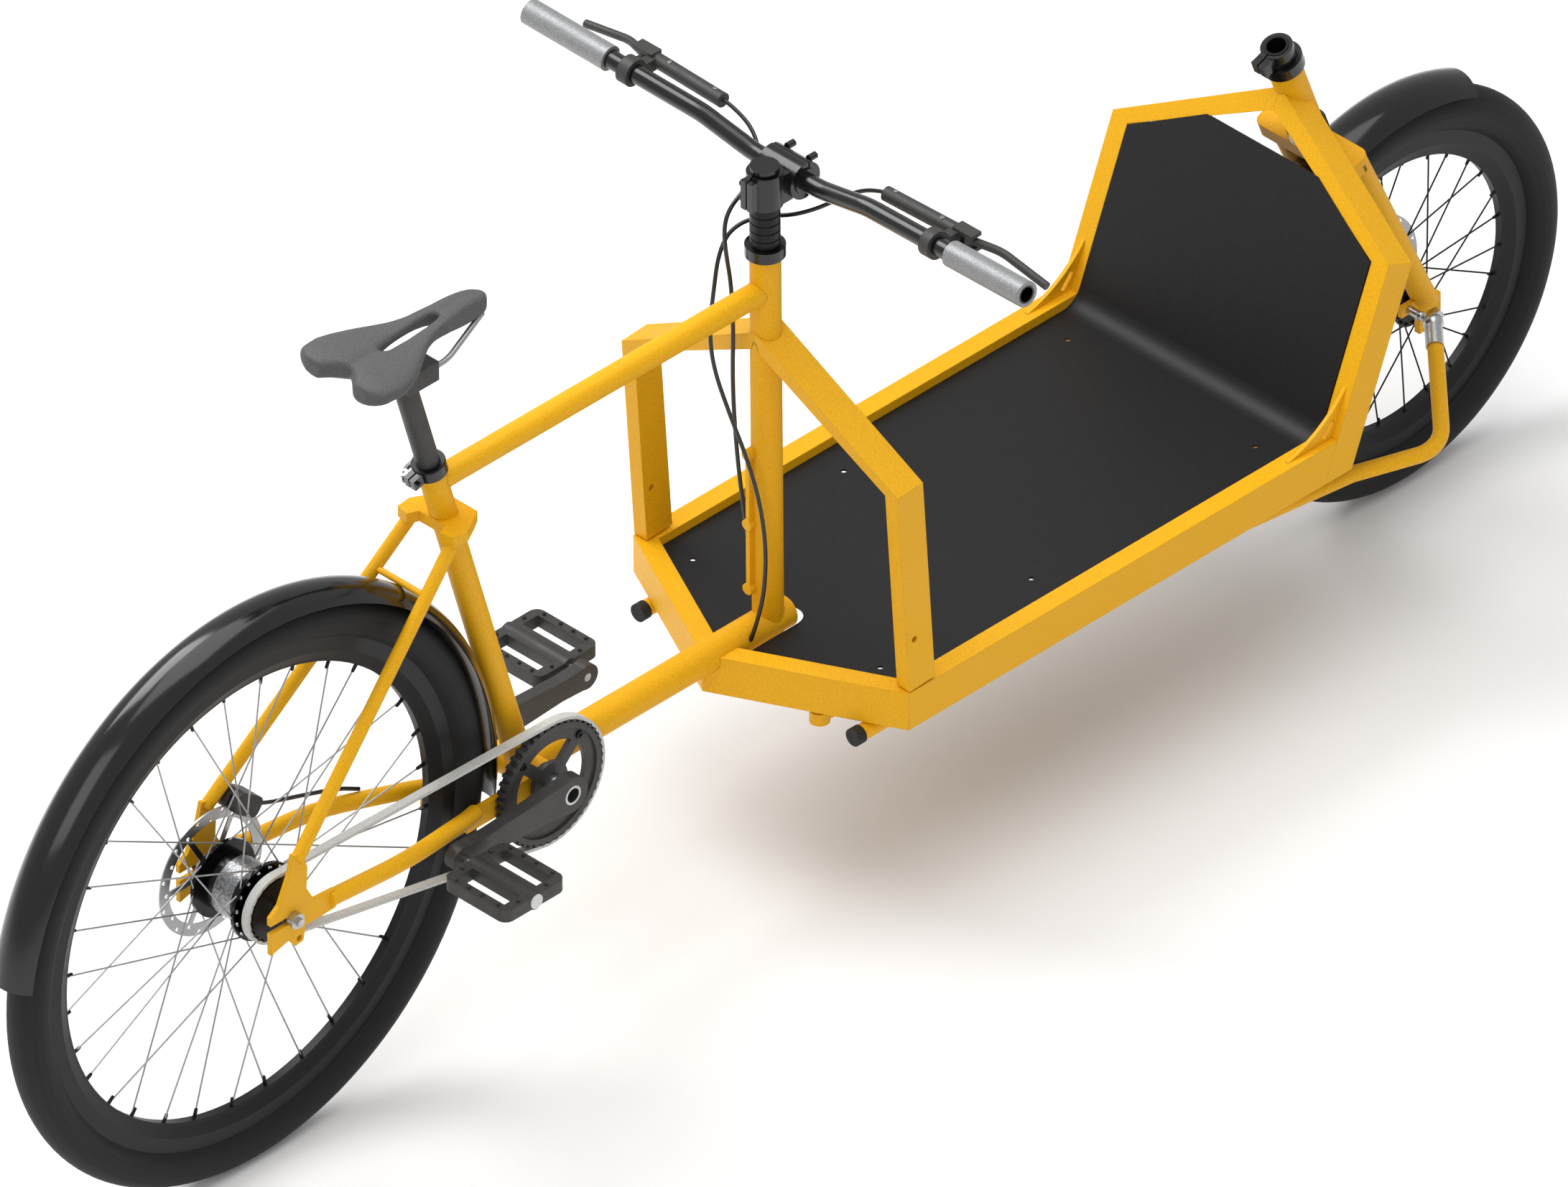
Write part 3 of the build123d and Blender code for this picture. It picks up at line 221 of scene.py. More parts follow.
def finishMaterial(tree, look, colour, roughness, height):
    # the common end: rounded edges, then the grain's bump, then the shader
    edge = addNode(tree, "ShaderNodeBevel", {"samples": 4}, {"Radius": look["edge"] / 1000})
    bump = addNode(tree, "ShaderNodeBump", None,
                   {"Height": height, "Distance": look["bump"] / 1000, "Normal": edge.outputs[0]})
    shader = addNode(tree, "ShaderNodeBsdfPrincipled", None, {
        "Base Color": colour, "Roughness": roughness, "Metallic": look["metallic"],
        "Specular IOR Level": look["shine"], "Coat Weight": look["coat"], "Coat Roughness": coatRough,
        "Normal": bump.outputs[0]})
    addNode(tree, "ShaderNodeOutputMaterial", None, {"Surface": shader.outputs[0]})


def grainedFinish(name, look):
    # two tones mixed by a fine grain, with roughness drifting slowly over the surface
    material, tree, where = startMaterial(name)
    grain = addNode(tree, "ShaderNodeTexNoise", None,
                    {"Vector": where, "Scale": 1000 / look["grain"], "Detail": 2.0, "Roughness": 0.6})
    drift = addNode(tree, "ShaderNodeTexNoise", None,
                    {"Vector": where, "Scale": 1000 / look["drift"], "Detail": 2.0})
    share = addNode(tree, "ShaderNodeMapRange", None,
                    {"Value": grain.outputs[0], "From Min": grainSpan[0], "From Max": grainSpan[1]})
    tones = addNode(tree, "ShaderNodeMix", {"data_type": "RGBA"},
                    {0: share.outputs[0], 6: linear(look["tones"][0]), 7: linear(look["tones"][1])})
    rough = addNode(tree, "ShaderNodeMapRange", None,
                    {"Value": drift.outputs[0], "From Min": driftSpan[0], "From Max": driftSpan[1],
                     "To Min": look["rough"][0], "To Max": look["rough"][1]})
    finishMaterial(tree, look, tones.outputs[2], rough.outputs[0], grain.outputs[0])
    return material


waveSpan = 314    # mm from one ring of the wave texture to the next at a scale of 1


def turnedFinish(name, look, centre):
    # rings about a wheel's axle: turning marks on a rotor, moulded lines on a tyre
    material, tree, where = startMaterial(name)
    hub = addNode(tree, "ShaderNodeMapping", None, {"Vector": where, "Location": -centre})
    rings = addNode(tree, "ShaderNodeTexWave", {"wave_type": "RINGS", "rings_direction": "Y"},
                    {"Vector": hub.outputs[0], "Scale": waveSpan / look["ring"],
                     "Distortion": look["waver"], "Detail": 2.0})
    grain = addNode(tree, "ShaderNodeTexNoise", None,
                    {"Vector": where, "Scale": 1000 / look["grain"], "Detail": 2.0})
    height = addNode(tree, "ShaderNodeMix", {"data_type": "FLOAT"},
                     {0: look["ringShare"], 2: grain.outputs[0], 3: rings.outputs[1]})
    tones = addNode(tree, "ShaderNodeMix", {"data_type": "RGBA"},
                    {0: height.outputs[0], 6: linear(look["tones"][0]), 7: linear(look["tones"][1])})
    rough = addNode(tree, "ShaderNodeMapRange", None,
                    {"Value": height.outputs[0], "To Min": look["rough"][0], "To Max": look["rough"][1]})
    finishMaterial(tree, look, tones.outputs[2], rough.outputs[0], height.outputs[0])
    return material


# finishes whose marks run round a wheel; ring is the spacing of the marks in mm
wheelLooks = {
    # vulcanised tyre rubber: charcoal, dull, with faint moulded rings
    "TyreRubber": {"tones": ("#1A1A1B", "#121213"), "grain": 1.4, "ring": 9.0, "waver": 0.3,
                   "ringShare": 0.18, "bump": 0.10, "rough": (0.58, 0.72), "metallic": 0.0,
                   "coat": 0.0, "shine": 0.3, "edge": 0.6},
    # extruded and anodised rim: black with faint turning lines
    "RimAnodised": {"tones": ("#1D1D1E", "#131314"), "grain": 1.5, "ring": 3.0, "waver": 0.2,
                    "ringShare": 0.35, "bump": 0.02, "rough": (0.34, 0.48), "metallic": 0.4,
                    "coat": 0.0, "shine": 0.4, "edge": 0.6},
    # ground stainless rotor: bright circular brushing
    "RotorSteel": {"tones": ("#C4C5C7", "#9EA0A2"), "grain": 1.2, "ring": 1.6, "waver": 0.8,
                   "ringShare": 0.7, "bump": 0.03, "rough": (0.26, 0.40), "metallic": 1.0,
                   "coat": 0.0, "shine": 0.5, "edge": 0.2},
}

finishes = {name: grainedFinish(name, look) for name, look in looks.items()}
for wheel, axle in (("rear", at(rearX, 0, rearZ)), ("front", at(frontX, 0, frontZ))):
    for label, look in wheelLooks.items():
        finishes[wheel + label] = turnedFinish(wheel + label, look, axle)

# bandFrom and bandTo are mm along the axle, and knurl is the width of one facet
hubLook = {"shell": "#141415", "band": "#A9AAAC", "bandDark": "#5A5B5D", "bandFrom": -13.0,
           "bandTo": 17.0, "bandFade": 1.0, "knurl": 3.2, "rough": (0.18, 0.34), "bump": 0.25,
           "metallic": 0.8, "coat": 0.3, "shine": 0.5, "edge": 0.8}


def hubShellFinish(look):
    # polished hub shell: black enamel with a bright knurled band round the middle of the barrel
    material, tree, where = startMaterial("hubShellEnamel")
    parts = addNode(tree, "ShaderNodeSeparateXYZ", None, {"Vector": where})
    rise = addNode(tree, "ShaderNodeMapRange", None, {
        "Value": parts.outputs[1], "From Min": look["bandFrom"] / 1000,
        "From Max": (look["bandFrom"] + look["bandFade"]) / 1000})
    fall = addNode(tree, "ShaderNodeMapRange", None, {
        "Value": parts.outputs[1], "From Min": look["bandTo"] / 1000,
        "From Max": (look["bandTo"] - look["bandFade"]) / 1000})
    inside = addNode(tree, "ShaderNodeMath", {"operation": "MULTIPLY"},
                     {0: rise.outputs[0], 1: fall.outputs[0]})
    knurl = addNode(tree, "ShaderNodeTexVoronoi", {"feature": "F1"},
                    {"Vector": where, "Scale": 1000 / look["knurl"]})
    shine = addNode(tree, "ShaderNodeMix", {"data_type": "RGBA"},
                    {0: knurl.outputs[0], 6: linear(look["band"]), 7: linear(look["bandDark"])})
    tones = addNode(tree, "ShaderNodeMix", {"data_type": "RGBA"},
                    {0: inside.outputs[0], 6: linear(look["shell"]), 7: shine.outputs[2]})
    height = addNode(tree, "ShaderNodeMath", {"operation": "MULTIPLY"},
                     {0: inside.outputs[0], 1: knurl.outputs[0]})
    rough = addNode(tree, "ShaderNodeMapRange", None,
                    {"Value": inside.outputs[0], "To Min": look["rough"][0], "To Max": look["rough"][1]})
    finishMaterial(tree, look, tones.outputs[2], rough.outputs[0], height.outputs[0])
    return material


# valley is how much of each pebble slopes into the crease round it; that slope is also painted in the
# darker tone, as painted shade in the creases
vinylLook = {"tones": ("#5A5A5B", "#48494A"), "grain": 2.4, "valley": 0.25, "rough": (0.62, 0.48),
             "bump": 0.22, "metallic": 0.0, "coat": 0.0, "shine": 0.4, "edge": 0.4}


def vinylFinish(look):
    # embossed vinyl saddle cover: grey pebble grain, drawn at 2.4 mm so that it shows, with painted shade
    # darkening the creases between pebbles
    material, tree, where = startMaterial("embossedVinyl")
    pebbles = addNode(tree, "ShaderNodeTexVoronoi", {"feature": "DISTANCE_TO_EDGE"},
                      {"Vector": where, "Scale": 1000 / look["grain"]})
    rise = addNode(tree, "ShaderNodeMapRange", None,
                   {"Value": pebbles.outputs[0], "From Max": look["valley"]})
    # painted shade: the darker tone goes into the creases and the lighter tone onto the pebble tops
    tones = addNode(tree, "ShaderNodeMix", {"data_type": "RGBA"},
                    {0: rise.outputs[0], 6: linear(look["tones"][1]), 7: linear(look["tones"][0])})
    rough = addNode(tree, "ShaderNodeMapRange", None,
                    {"Value": rise.outputs[0], "To Min": look["rough"][0], "To Max": look["rough"][1]})
    finishMaterial(tree, look, tones.outputs[2], rough.outputs[0], rise.outputs[0])
    return material


forkTop = {"bareAbove": 0.655, "tone": "#0C0C0D"}     # metres above the floor


def forkFinish(look, top):
    # the fork's yellow coat stops at the headset; the steerer's open top is left black
    material = grainedFinish("forkCoatYellow", look)
    tree = material.node_tree
    shader = next(node for node in tree.nodes if node.type == "BSDF_PRINCIPLED")
    painted = shader.inputs["Base Color"].links[0].from_socket
    where = addNode(tree, "ShaderNodeTexCoord").outputs["Object"]
    parts = addNode(tree, "ShaderNodeSeparateXYZ", None, {"Vector": where})
    bare = addNode(tree, "ShaderNodeMath", {"operation": "GREATER_THAN"},
                   {0: parts.outputs[2], 1: top["bareAbove"]})
    tones = addNode(tree, "ShaderNodeMix", {"data_type": "RGBA"},
                    {0: bare.outputs[0], 6: painted, 7: linear(top["tone"])})
    tree.links.new(tones.outputs[2], shader.inputs["Base Color"])
    return material


finishes["forkCoatYellow"] = forkFinish(looks["powderCoatYellow"], forkTop)
finishes["hubShellEnamel"] = hubShellFinish(hubLook)
finishes["embossedVinyl"] = vinylFinish(vinylLook)

# a part takes its slot's finish, unless it has one of its own below
slotFinish = {
    "yellow_paint": "powderCoatYellow", "black_paint": "powderCoatCharcoal",
    "black_alloy": "anodisedBlack", "gloss_black": "glossEnamelBlack", "tyre_rubber": "footRubber",
    "stainless": "drawnStainless", "steel": "zincPlate", "belt_rubber": "beltPolyurethane",
    "sprocket_steel": "anodisedBlack", "grip_rubber": "fleckedGripRubber",
    "saddle_cover": "embossedVinyl", "hose": "hoseNylon", "foot_rubber": "footRubber",
}
nodeFinish = {
    "rear_tyre": "rearTyreRubber", "front_tyre": "frontTyreRubber", "rear_rim": "rearRimAnodised",
    "front_rim": "frontRimAnodised", "rear_brake_disc": "rearRotorSteel",
    "front_brake_disc": "frontRotorSteel", "rear_hub": "hubShellEnamel", "front_spokes": "blackenedWire",
    "crank_arms": "castGrey", "chainring": "castGrey",
    "pedal_left": "castGrey", "pedal_right": "castGrey",
    "lever_perches": "castGrey", "brake_lever_left": "castGrey", "brake_lever_right": "castGrey",
    "seatpost": "castGrey", "handlebar": "barPaintBlack", "stem": "barPaintBlack",
    "front_brake_caliper": "castGrey", "rear_brake_caliper": "castGrey",
    "headset_cups": "barPaintBlack", "fork_collar": "barPaintBlack", "seat_collar": "barPaintBlack",
    "column_bolts": "barPaintBlack", "fork_steerer": "forkCoatYellow",
}


def giveFinish(mesh, name):
    mesh.materials.clear()
    mesh.materials.append(finishes[name])


for part in frame["record"]["subparts"]:
    mesh = nodes[part["node"]].data
    giveFinish(mesh, nodeFinish.get(part["node"], slotFinish[part["material_slot"]]))
print("finishes on", len(nodes), "nodes")


def newObject(name, data):
    piece = bpy.data.objects.new(name, data)
    scene.collection.objects.link(piece)
    return piece


def finishMesh(made, name):
    # faces turned outward, then kept as a mesh
    bmesh.ops.recalc_face_normals(made, faces=made.faces)
    mesh = bpy.data.meshes.new(name)
    made.to_mesh(mesh)
    made.free()
    return mesh


def turnedPart(profile, sides):
    # a closed turned shape about X; profile is (x, radius) in mm from one end to the other
    made = bmesh.new()
    angles = [2 * math.pi * i / sides for i in range(sides)]
    rings = []
    for x, radius in profile:
        rings.append([made.verts.new((x / 1000, radius / 1000 * math.cos(a), radius / 1000 * math.sin(a)))
                      for a in angles])
    for near, far in zip(rings, rings[1:]):
        for i in range(sides):
            made.faces.new((near[i], near[i - 1], far[i - 1], far[i]))
    made.faces.new(rings[0])
    made.faces.new(rings[-1][::-1])
    return finishMesh(made, "turned")


def blockPart(corners, depth):
    # a prism from an outline in X and Y, centred along Z; all in mm
    made = bmesh.new()
    low = [made.verts.new((x / 1000, y / 1000, -depth / 2000)) for x, y in corners]
    high = [made.verts.new((x / 1000, y / 1000, depth / 2000)) for x, y in corners]
    made.faces.new(low[::-1])
    made.faces.new(high)
    for i in range(len(corners)):
        made.faces.new((low[i - 1], low[i], high[i], high[i - 1]))
    return finishMesh(made, "block")


def socketPart(radius, height, key):
    # a cap screw standing along X, with a slightly rounded head and a socket sunk in it
    shoulder = height * 0.8
    socketFloor = height * 0.4
    crown = radius * 0.86
    levels = [(0, radius), (shoulder, radius), (height, crown), (height, key), (socketFloor, key)]
    return turnedPart(levels, 12)


def wheelTree():
    # parts set round a wheel: X of the part points outward, its Z lies along the axle
    tree = bpy.data.node_groups.new("partsRoundAWheel", "GeometryNodeTree")
    for label, kind in (("Geometry", "NodeSocketGeometry"), ("Count", "NodeSocketInt"),
                        ("Radius", "NodeSocketFloat"), ("Turn", "NodeSocketFloat"),
                        ("Step Aside", "NodeSocketFloat"), ("Centre", "NodeSocketVector"),
                        ("Part", "NodeSocketObject"), ("Finish", "NodeSocketMaterial")):
        tree.interface.new_socket(label, in_out="INPUT", socket_type=kind)
    tree.interface.new_socket("Geometry", in_out="OUTPUT", socket_type="NodeSocketGeometry")
    given = addNode(tree, "NodeGroupInput").outputs
    circle = addNode(tree, "GeometryNodeMeshCircle", None,
                     {"Vertices": given["Count"], "Radius": given["Radius"]})
    index = addNode(tree, "GeometryNodeInputIndex")
    odd = addNode(tree, "ShaderNodeMath", {"operation": "MODULO"}, {0: index.outputs[0], 1: 2.0})
    aside = addNode(tree, "ShaderNodeMath", {"operation": "MULTIPLY"},
                    {0: odd.outputs[0], 1: given["Step Aside"]})
    step = addNode(tree, "ShaderNodeCombineXYZ", None, {"Z": aside.outputs[0]})
    spread = addNode(tree, "GeometryNodeSetPosition", None,
                     {"Geometry": circle.outputs[0], "Offset": step.outputs[0]})
    place = addNode(tree, "GeometryNodeInputPosition")
    flat = addNode(tree, "ShaderNodeVectorMath", {"operation": "MULTIPLY"},
                   {0: place.outputs[0], 1: (1, 1, 0)})
    aim = addNode(tree, "FunctionNodeAlignRotationToVector", {"axis": "X", "pivot_axis": "Z"},
                  {"Vector": flat.outputs[0]})
    part = addNode(tree, "GeometryNodeObjectInfo", None, {"Object": given["Part"]})
    copies = addNode(tree, "GeometryNodeInstanceOnPoints", None, {
        "Points": spread.outputs[0], "Instance": part.outputs["Geometry"], "Rotation": aim.outputs[0]})
    spin = addNode(tree, "ShaderNodeCombineXYZ", None, {"Z": given["Turn"]})
    turned = addNode(tree, "GeometryNodeTransform", None,
                     {"Geometry": copies.outputs[0], "Rotation": spin.outputs[0]})
    upright = addNode(tree, "GeometryNodeTransform", None, {
        "Geometry": turned.outputs[0], "Rotation": (math.pi / 2, 0, 0), "Translation": given["Centre"]})
    real = addNode(tree, "GeometryNodeRealizeInstances", None, {"Geometry": upright.outputs[0]})
    dressed = addNode(tree, "GeometryNodeSetMaterial", None,
                      {"Geometry": real.outputs[0], "Material": given["Finish"]})
    addNode(tree, "NodeGroupOutput", None, {0: dressed.outputs[0]})
    return tree


def sitesTree():
    # one part at every point of a mesh, all turned alike
    tree = bpy.data.node_groups.new("partsAtSites", "GeometryNodeTree")
    for label, kind in (("Geometry", "NodeSocketGeometry"), ("Part", "NodeSocketObject"),
                        ("Turn", "NodeSocketRotation"), ("Finish", "NodeSocketMaterial")):
        tree.interface.new_socket(label, in_out="INPUT", socket_type=kind)
    tree.interface.new_socket("Geometry", in_out="OUTPUT", socket_type="NodeSocketGeometry")
    given = addNode(tree, "NodeGroupInput").outputs
    part = addNode(tree, "GeometryNodeObjectInfo", None, {"Object": given["Part"]})
    copies = addNode(tree, "GeometryNodeInstanceOnPoints", None, {
        "Points": given["Geometry"], "Instance": part.outputs["Geometry"], "Rotation": given["Turn"]})
    real = addNode(tree, "GeometryNodeRealizeInstances", None, {"Geometry": copies.outputs[0]})
    dressed = addNode(tree, "GeometryNodeSetMaterial", None,
                      {"Geometry": real.outputs[0], "Material": given["Finish"]})
    addNode(tree, "NodeGroupOutput", None, {0: dressed.outputs[0]})
    return tree


def bakeMesh(piece):
    # the evaluated result as one plain mesh, with no modifier left
    bpy.context.view_layer.update()
    evaluated = piece.evaluated_get(bpy.context.evaluated_depsgraph_get())
    mesh = bpy.data.meshes.new_from_object(evaluated)
    name = piece.name
    bpy.data.objects.remove(piece)
    return newObject(name, mesh)


def runTree(name, tree, baseMesh, partMesh, values, body):
    # sets the tree's inputs by identifier, keeps the result as a plain mesh, and hangs it on its body
    part = newObject("partSource", partMesh)
    base = newObject(name, baseMesh)
    modifier = base.modifiers.new("build", "NODES")
    modifier.node_group = tree
    values["Part"] = part
    for item in tree.interface.items_tree:
        if item.in_out == "INPUT" and item.name in values:
            modifier[item.identifier] = values[item.name]
    made = bakeMesh(base)
    bpy.data.objects.remove(part)
    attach(made, body)


roundWheel = wheelTree()
atSites = sitesTree()

# small shapes that repeat round a wheel, in mm; a nipple sticks in from the rim, toward the hub
rearNipple = turnedPart([(-11, 1.5), (-10, 2.0), (-1, 2.3), (1.5, 2.3)], 8)
frontNipple = turnedPart([(-7, 1.4), (-6, 1.8), (1.5, 2.0)], 8)
spokeHead = turnedPart([(-1.6, 1.6), (-1.2, 2.3), (0, 2.5), (1.2, 2.3), (1.6, 1.6)], 8)
beltTooth = blockPart([(-1.0, 3.4), (3.4, 2.3), (3.9, 1.4), (3.9, -1.4), (3.4, -2.3), (-1.0, -3.4)], 11)
# turn is in radians, aside is how far every second one steps along the axle, in mm
wheelParts = {
    "rear_nipples": {
        "part": rearNipple, "count": 32, "radius": 281.5, "turn": math.pi / 32, "aside": 3.8,
        "centre": (rearX, 2.1, rearZ), "finish": "anodisedBlack", "body": "rear_wheel",
        "slot": "black_alloy"},
    "front_nipples": {
        "part": frontNipple, "count": 28, "radius": 173.5, "turn": math.pi / 28, "aside": 3.6,
        "centre": (frontX, 1.7, frontZ), "finish": "blackenedWire", "body": "front_wheel",
        "slot": "black_paint"},
    "rear_spoke_heads_right": {
        "part": spokeHead, "count": 16, "radius": 44, "turn": math.pi / 16, "aside": 0,
        "centre": (rearX, -30.6, rearZ), "finish": "zincPlate", "body": "rear_wheel",
        "slot": "stainless"},
    "rear_spoke_heads_left": {
        "part": spokeHead, "count": 16, "radius": 44, "turn": 0, "aside": 0,
        "centre": (rearX, 38.6, rearZ), "finish": "zincPlate", "body": "rear_wheel",
        "slot": "stainless"},
    "front_spoke_heads_right": {
        "part": spokeHead, "count": 14, "radius": 24, "turn": math.pi / 14, "aside": 0,
        "centre": (frontX, -34.5, frontZ), "finish": "blackenedWire", "body": "front_wheel",
        "slot": "black_paint"},
    "front_spoke_heads_left": {
        "part": spokeHead, "count": 14, "radius": 24, "turn": 0, "aside": 0,
        "centre": (frontX, 30.5, frontZ), "finish": "blackenedWire", "body": "front_wheel",
        "slot": "black_paint"},
    "chainring_teeth": {
        "part": beltTooth, "count": 46, "radius": 75.4, "turn": 0, "aside": 0,
        "centre": (crankX, -44, crankZ), "finish": "castGrey", "body": "cranks",
        "slot": "black_paint"},
    "rear_cog_teeth": {
        "part": beltTooth, "count": 24, "radius": 36.9, "turn": 0, "aside": 0,
        "centre": (rearX, -44, rearZ), "finish": "anodisedBlack", "body": "sprocket",
        "slot": "sprocket_steel"},
}
for name, piece in wheelParts.items():
    values = {"Count": piece["count"], "Radius": piece["radius"] / 1000, "Turn": piece["turn"],
              "Step Aside": piece["aside"] / 1000, "Centre": at(*piece["centre"]),
              "Finish": finishes[piece["finish"]]}
    empty = bpy.data.meshes.new(name)
    runTree(name, roundWheel, empty, piece["part"], values, piece["body"])
print("wheel parts made")


def siteMesh(name, places):
    # a mesh of loose points, one for each place
    mesh = bpy.data.meshes.new(name)
    mesh.from_pydata([at(*place) for place in places], [], [])
    return mesh


def aroundAxle(centreX, y, centreZ, radius, count, offset):
    # places on a circle; offset is a share of one step
    return [(centreX + radius * math.cos(2 * math.pi * (i + offset) / count), y,
             centreZ + radius * math.sin(2 * math.pi * (i + offset) / count)) for i in range(count)]


# mm from the pedal's own axle, and from the middle of the bicycle
pedalPins = {"barX": 42.5, "barY": (112, 132, 152, 178), "endX": 22, "endY": (101, 189), "lift": 8}


def pinPlaces(centreX, side, face):
    # grip pins on the two long bars and the two ends of a pedal's frame
    height = crankZ + face * pedalPins["lift"]
    barX, endX = pedalPins["barX"], pedalPins["endX"]
    rows = [(centreX + dx, side * y, height) for dx in (-barX, barX) for y in pedalPins["barY"]]
    ends = [(centreX + dx, side * y, height) for dx in (-endX, endX) for y in pedalPins["endY"]]
    return rows + ends


leftward = (0, 0, math.pi / 2)      # turns a part's X toward the rider's left
rightward = (0, 0, -math.pi / 2)
upward = (0, -math.pi / 2, 0)
downward = (0, math.pi / 2, 0)
pin = turnedPart([(-1, 2.3), (2.6, 2.1), (3.6, 1.3)], 8)
endCap = turnedPart([(0, 9.0), (1.6, 9.0), (2.6, 8.0), (3.0, 5)], 32)
rotorScrew = socketPart(3.2, 2.4, 1.6)
leftPedalX, rightPedalX = crankX + 170, crankX - 170
capY = 194.5
siteParts = {
    "rear_rotor_screws": {
        "part": rotorScrew, "places": aroundAxle(rearX, 55.6, rearZ, 21.5, 6, 0.25), "turn": leftward,
        "finish": "zincPlate", "body": "rear_wheel", "slot": "steel"},
    "front_rotor_screws": {
        "part": rotorScrew, "places": aroundAxle(frontX, 39.6, frontZ, 21.5, 6, 0.25), "turn": leftward,
        "finish": "zincPlate", "body": "front_wheel", "slot": "steel"},
    "chainring_screws": {
        "part": socketPart(5.0, 2.6, 2.4), "places": aroundAxle(crankX, -47, crankZ, 62, 4, 0.5),
        "turn": rightward, "finish": "anodisedBlack", "body": "cranks", "slot": "black_alloy"},
    "perch_screws": {
        "part": socketPart(2.6, 1.8, 1.2),
        "places": [(882.5, side * y, 933.2) for side in (-1, 1) for y in (142, 214)],
        "turn": upward, "finish": "zincPlate", "body": "column", "slot": "steel"},
    "left_pedal_pins_up": {
        "part": pin, "places": pinPlaces(leftPedalX, 1, 1), "turn": upward,
        "finish": "castGrey", "body": "left_pedal", "slot": "black_alloy"},
    "left_pedal_pins_down": {
        "part": pin, "places": pinPlaces(leftPedalX, 1, -1), "turn": downward,
        "finish": "castGrey", "body": "left_pedal", "slot": "black_alloy"},
    "right_pedal_pins_up": {
        "part": pin, "places": pinPlaces(rightPedalX, -1, 1), "turn": upward,
        "finish": "castGrey", "body": "right_pedal", "slot": "black_alloy"},
    "right_pedal_pins_down": {
        "part": pin, "places": pinPlaces(rightPedalX, -1, -1), "turn": downward,
        "finish": "castGrey", "body": "right_pedal", "slot": "black_alloy"},
    "left_pedal_cap": {
        "part": endCap, "places": [(leftPedalX, capY, crankZ)], "turn": leftward,
        "finish": "nylonWhite", "body": "left_pedal", "slot": "black_alloy"},
    "right_pedal_cap": {
        "part": endCap, "places": [(rightPedalX, -capY, crankZ)], "turn": rightward,
        "finish": "nylonWhite", "body": "right_pedal", "slot": "black_alloy"},
    "caliper_screws_rear": {
        "part": socketPart(4.0, 3.0, 2.0), "places": [(36, 74, 436), (62, 74, 424)], "turn": leftward,
        "finish": "zincPlate", "body": "frame", "slot": "steel"},
}
for name, piece in siteParts.items():
    values = {"Turn": piece["turn"], "Finish": finishes[piece["finish"]]}
    places = siteMesh(name, piece["places"])
    runTree(name, atSites, places, piece["part"], values, piece["body"])
print("screws and pins made")

# the saddle, in mm; tail, nose and base are measured from the rear axle and the floor, and the
# rest from the tail and the base; outline is (distance from the tail, half width)
saddleShape = {
    "tail": 149.4, "nose": 381.4, "base": 960.7,
    "outline": [(0, 47), (6, 62), (14, 68.5), (38, 71), (55, 66), (70, 59), (85, 50), (100, 40),
                (115, 31), (130, 25), (150, 21.5), (180, 19), (210, 16.5), (222, 13.5), (231, 5)],
    "notchDepth": 24.0, "notchHalf": 27.0, "notchBend": 0.8,
    "slotFrom": 70.0, "slotTo": 160.0, "slotHalf": 6.6,
    "height": 30.5,
    "dip": 4.5, "dipTo": 190,              # the seat sinks a little between tail and nose
    "noseDrop": 9.0, "noseFrom": 180, "noseSpan": 52,
    "tailDrop": 5.0, "tailSpan": 26,
    "crown": 3.5, "wing": 72,              # the wings fall away by this much at this half width
    "under": 1.0, "underRise": 5.0,
    "thin": 11.0, "thinFrom": 40, "thinSpan": 160,      # the shell is thinner mid way
    "squareAcross": 0.62, "squareUp": 0.72,             # below 1 makes a section squarer
    "overlap": 4.0, "least": 3.0, "endGap": 1.0,        # how far the halves overlap, a half's least width
    "stations": 70, "sides": 28, "voxel": 2.2, "softening": 8,
}


def between(table, x):
    # the value at x, straight from one row of the table to the next
    for (x0, y0), (x1, y1) in zip(table, table[1:]):
        if x <= x1:
            return y0 + (y1 - y0) * max(0.0, (x - x0) / (x1 - x0))
    return table[-1][1]


def rounded(value, power):
    # a sine or cosine pushed out toward a square section
    return math.copysign(abs(value) ** power, value)


def saddleEdges(x):
    # the inner and outer edge of one half; the halves overlap where there is no slot or notch
    shape = saddleShape
    outer = between(shape["outline"], x)
    inner = -shape["overlap"]
    if x < shape["notchDepth"]:
        opening = (1 - x / shape["notchDepth"]) ** shape["notchBend"]
        inner = (shape["notchHalf"] + shape["overlap"]) * opening - shape["overlap"]
    if shape["slotFrom"] < x < shape["slotTo"]:
        along = 2 * (x - shape["slotFrom"]) / (shape["slotTo"] - shape["slotFrom"]) - 1
        inner = shape["slotHalf"] * (1 - along ** 4) ** 0.5
    return min(inner, outer - shape["least"]), outer


def saddleTop(x):
    shape = saddleShape
    top = shape["height"] - shape["dip"] * math.sin(math.pi * min(1, x / shape["dipTo"])) ** 2
    top -= shape["noseDrop"] * max(0, (x - shape["noseFrom"]) / shape["noseSpan"]) ** 2
    return top - shape["tailDrop"] * max(0, 1 - x / shape["tailSpan"]) ** 2


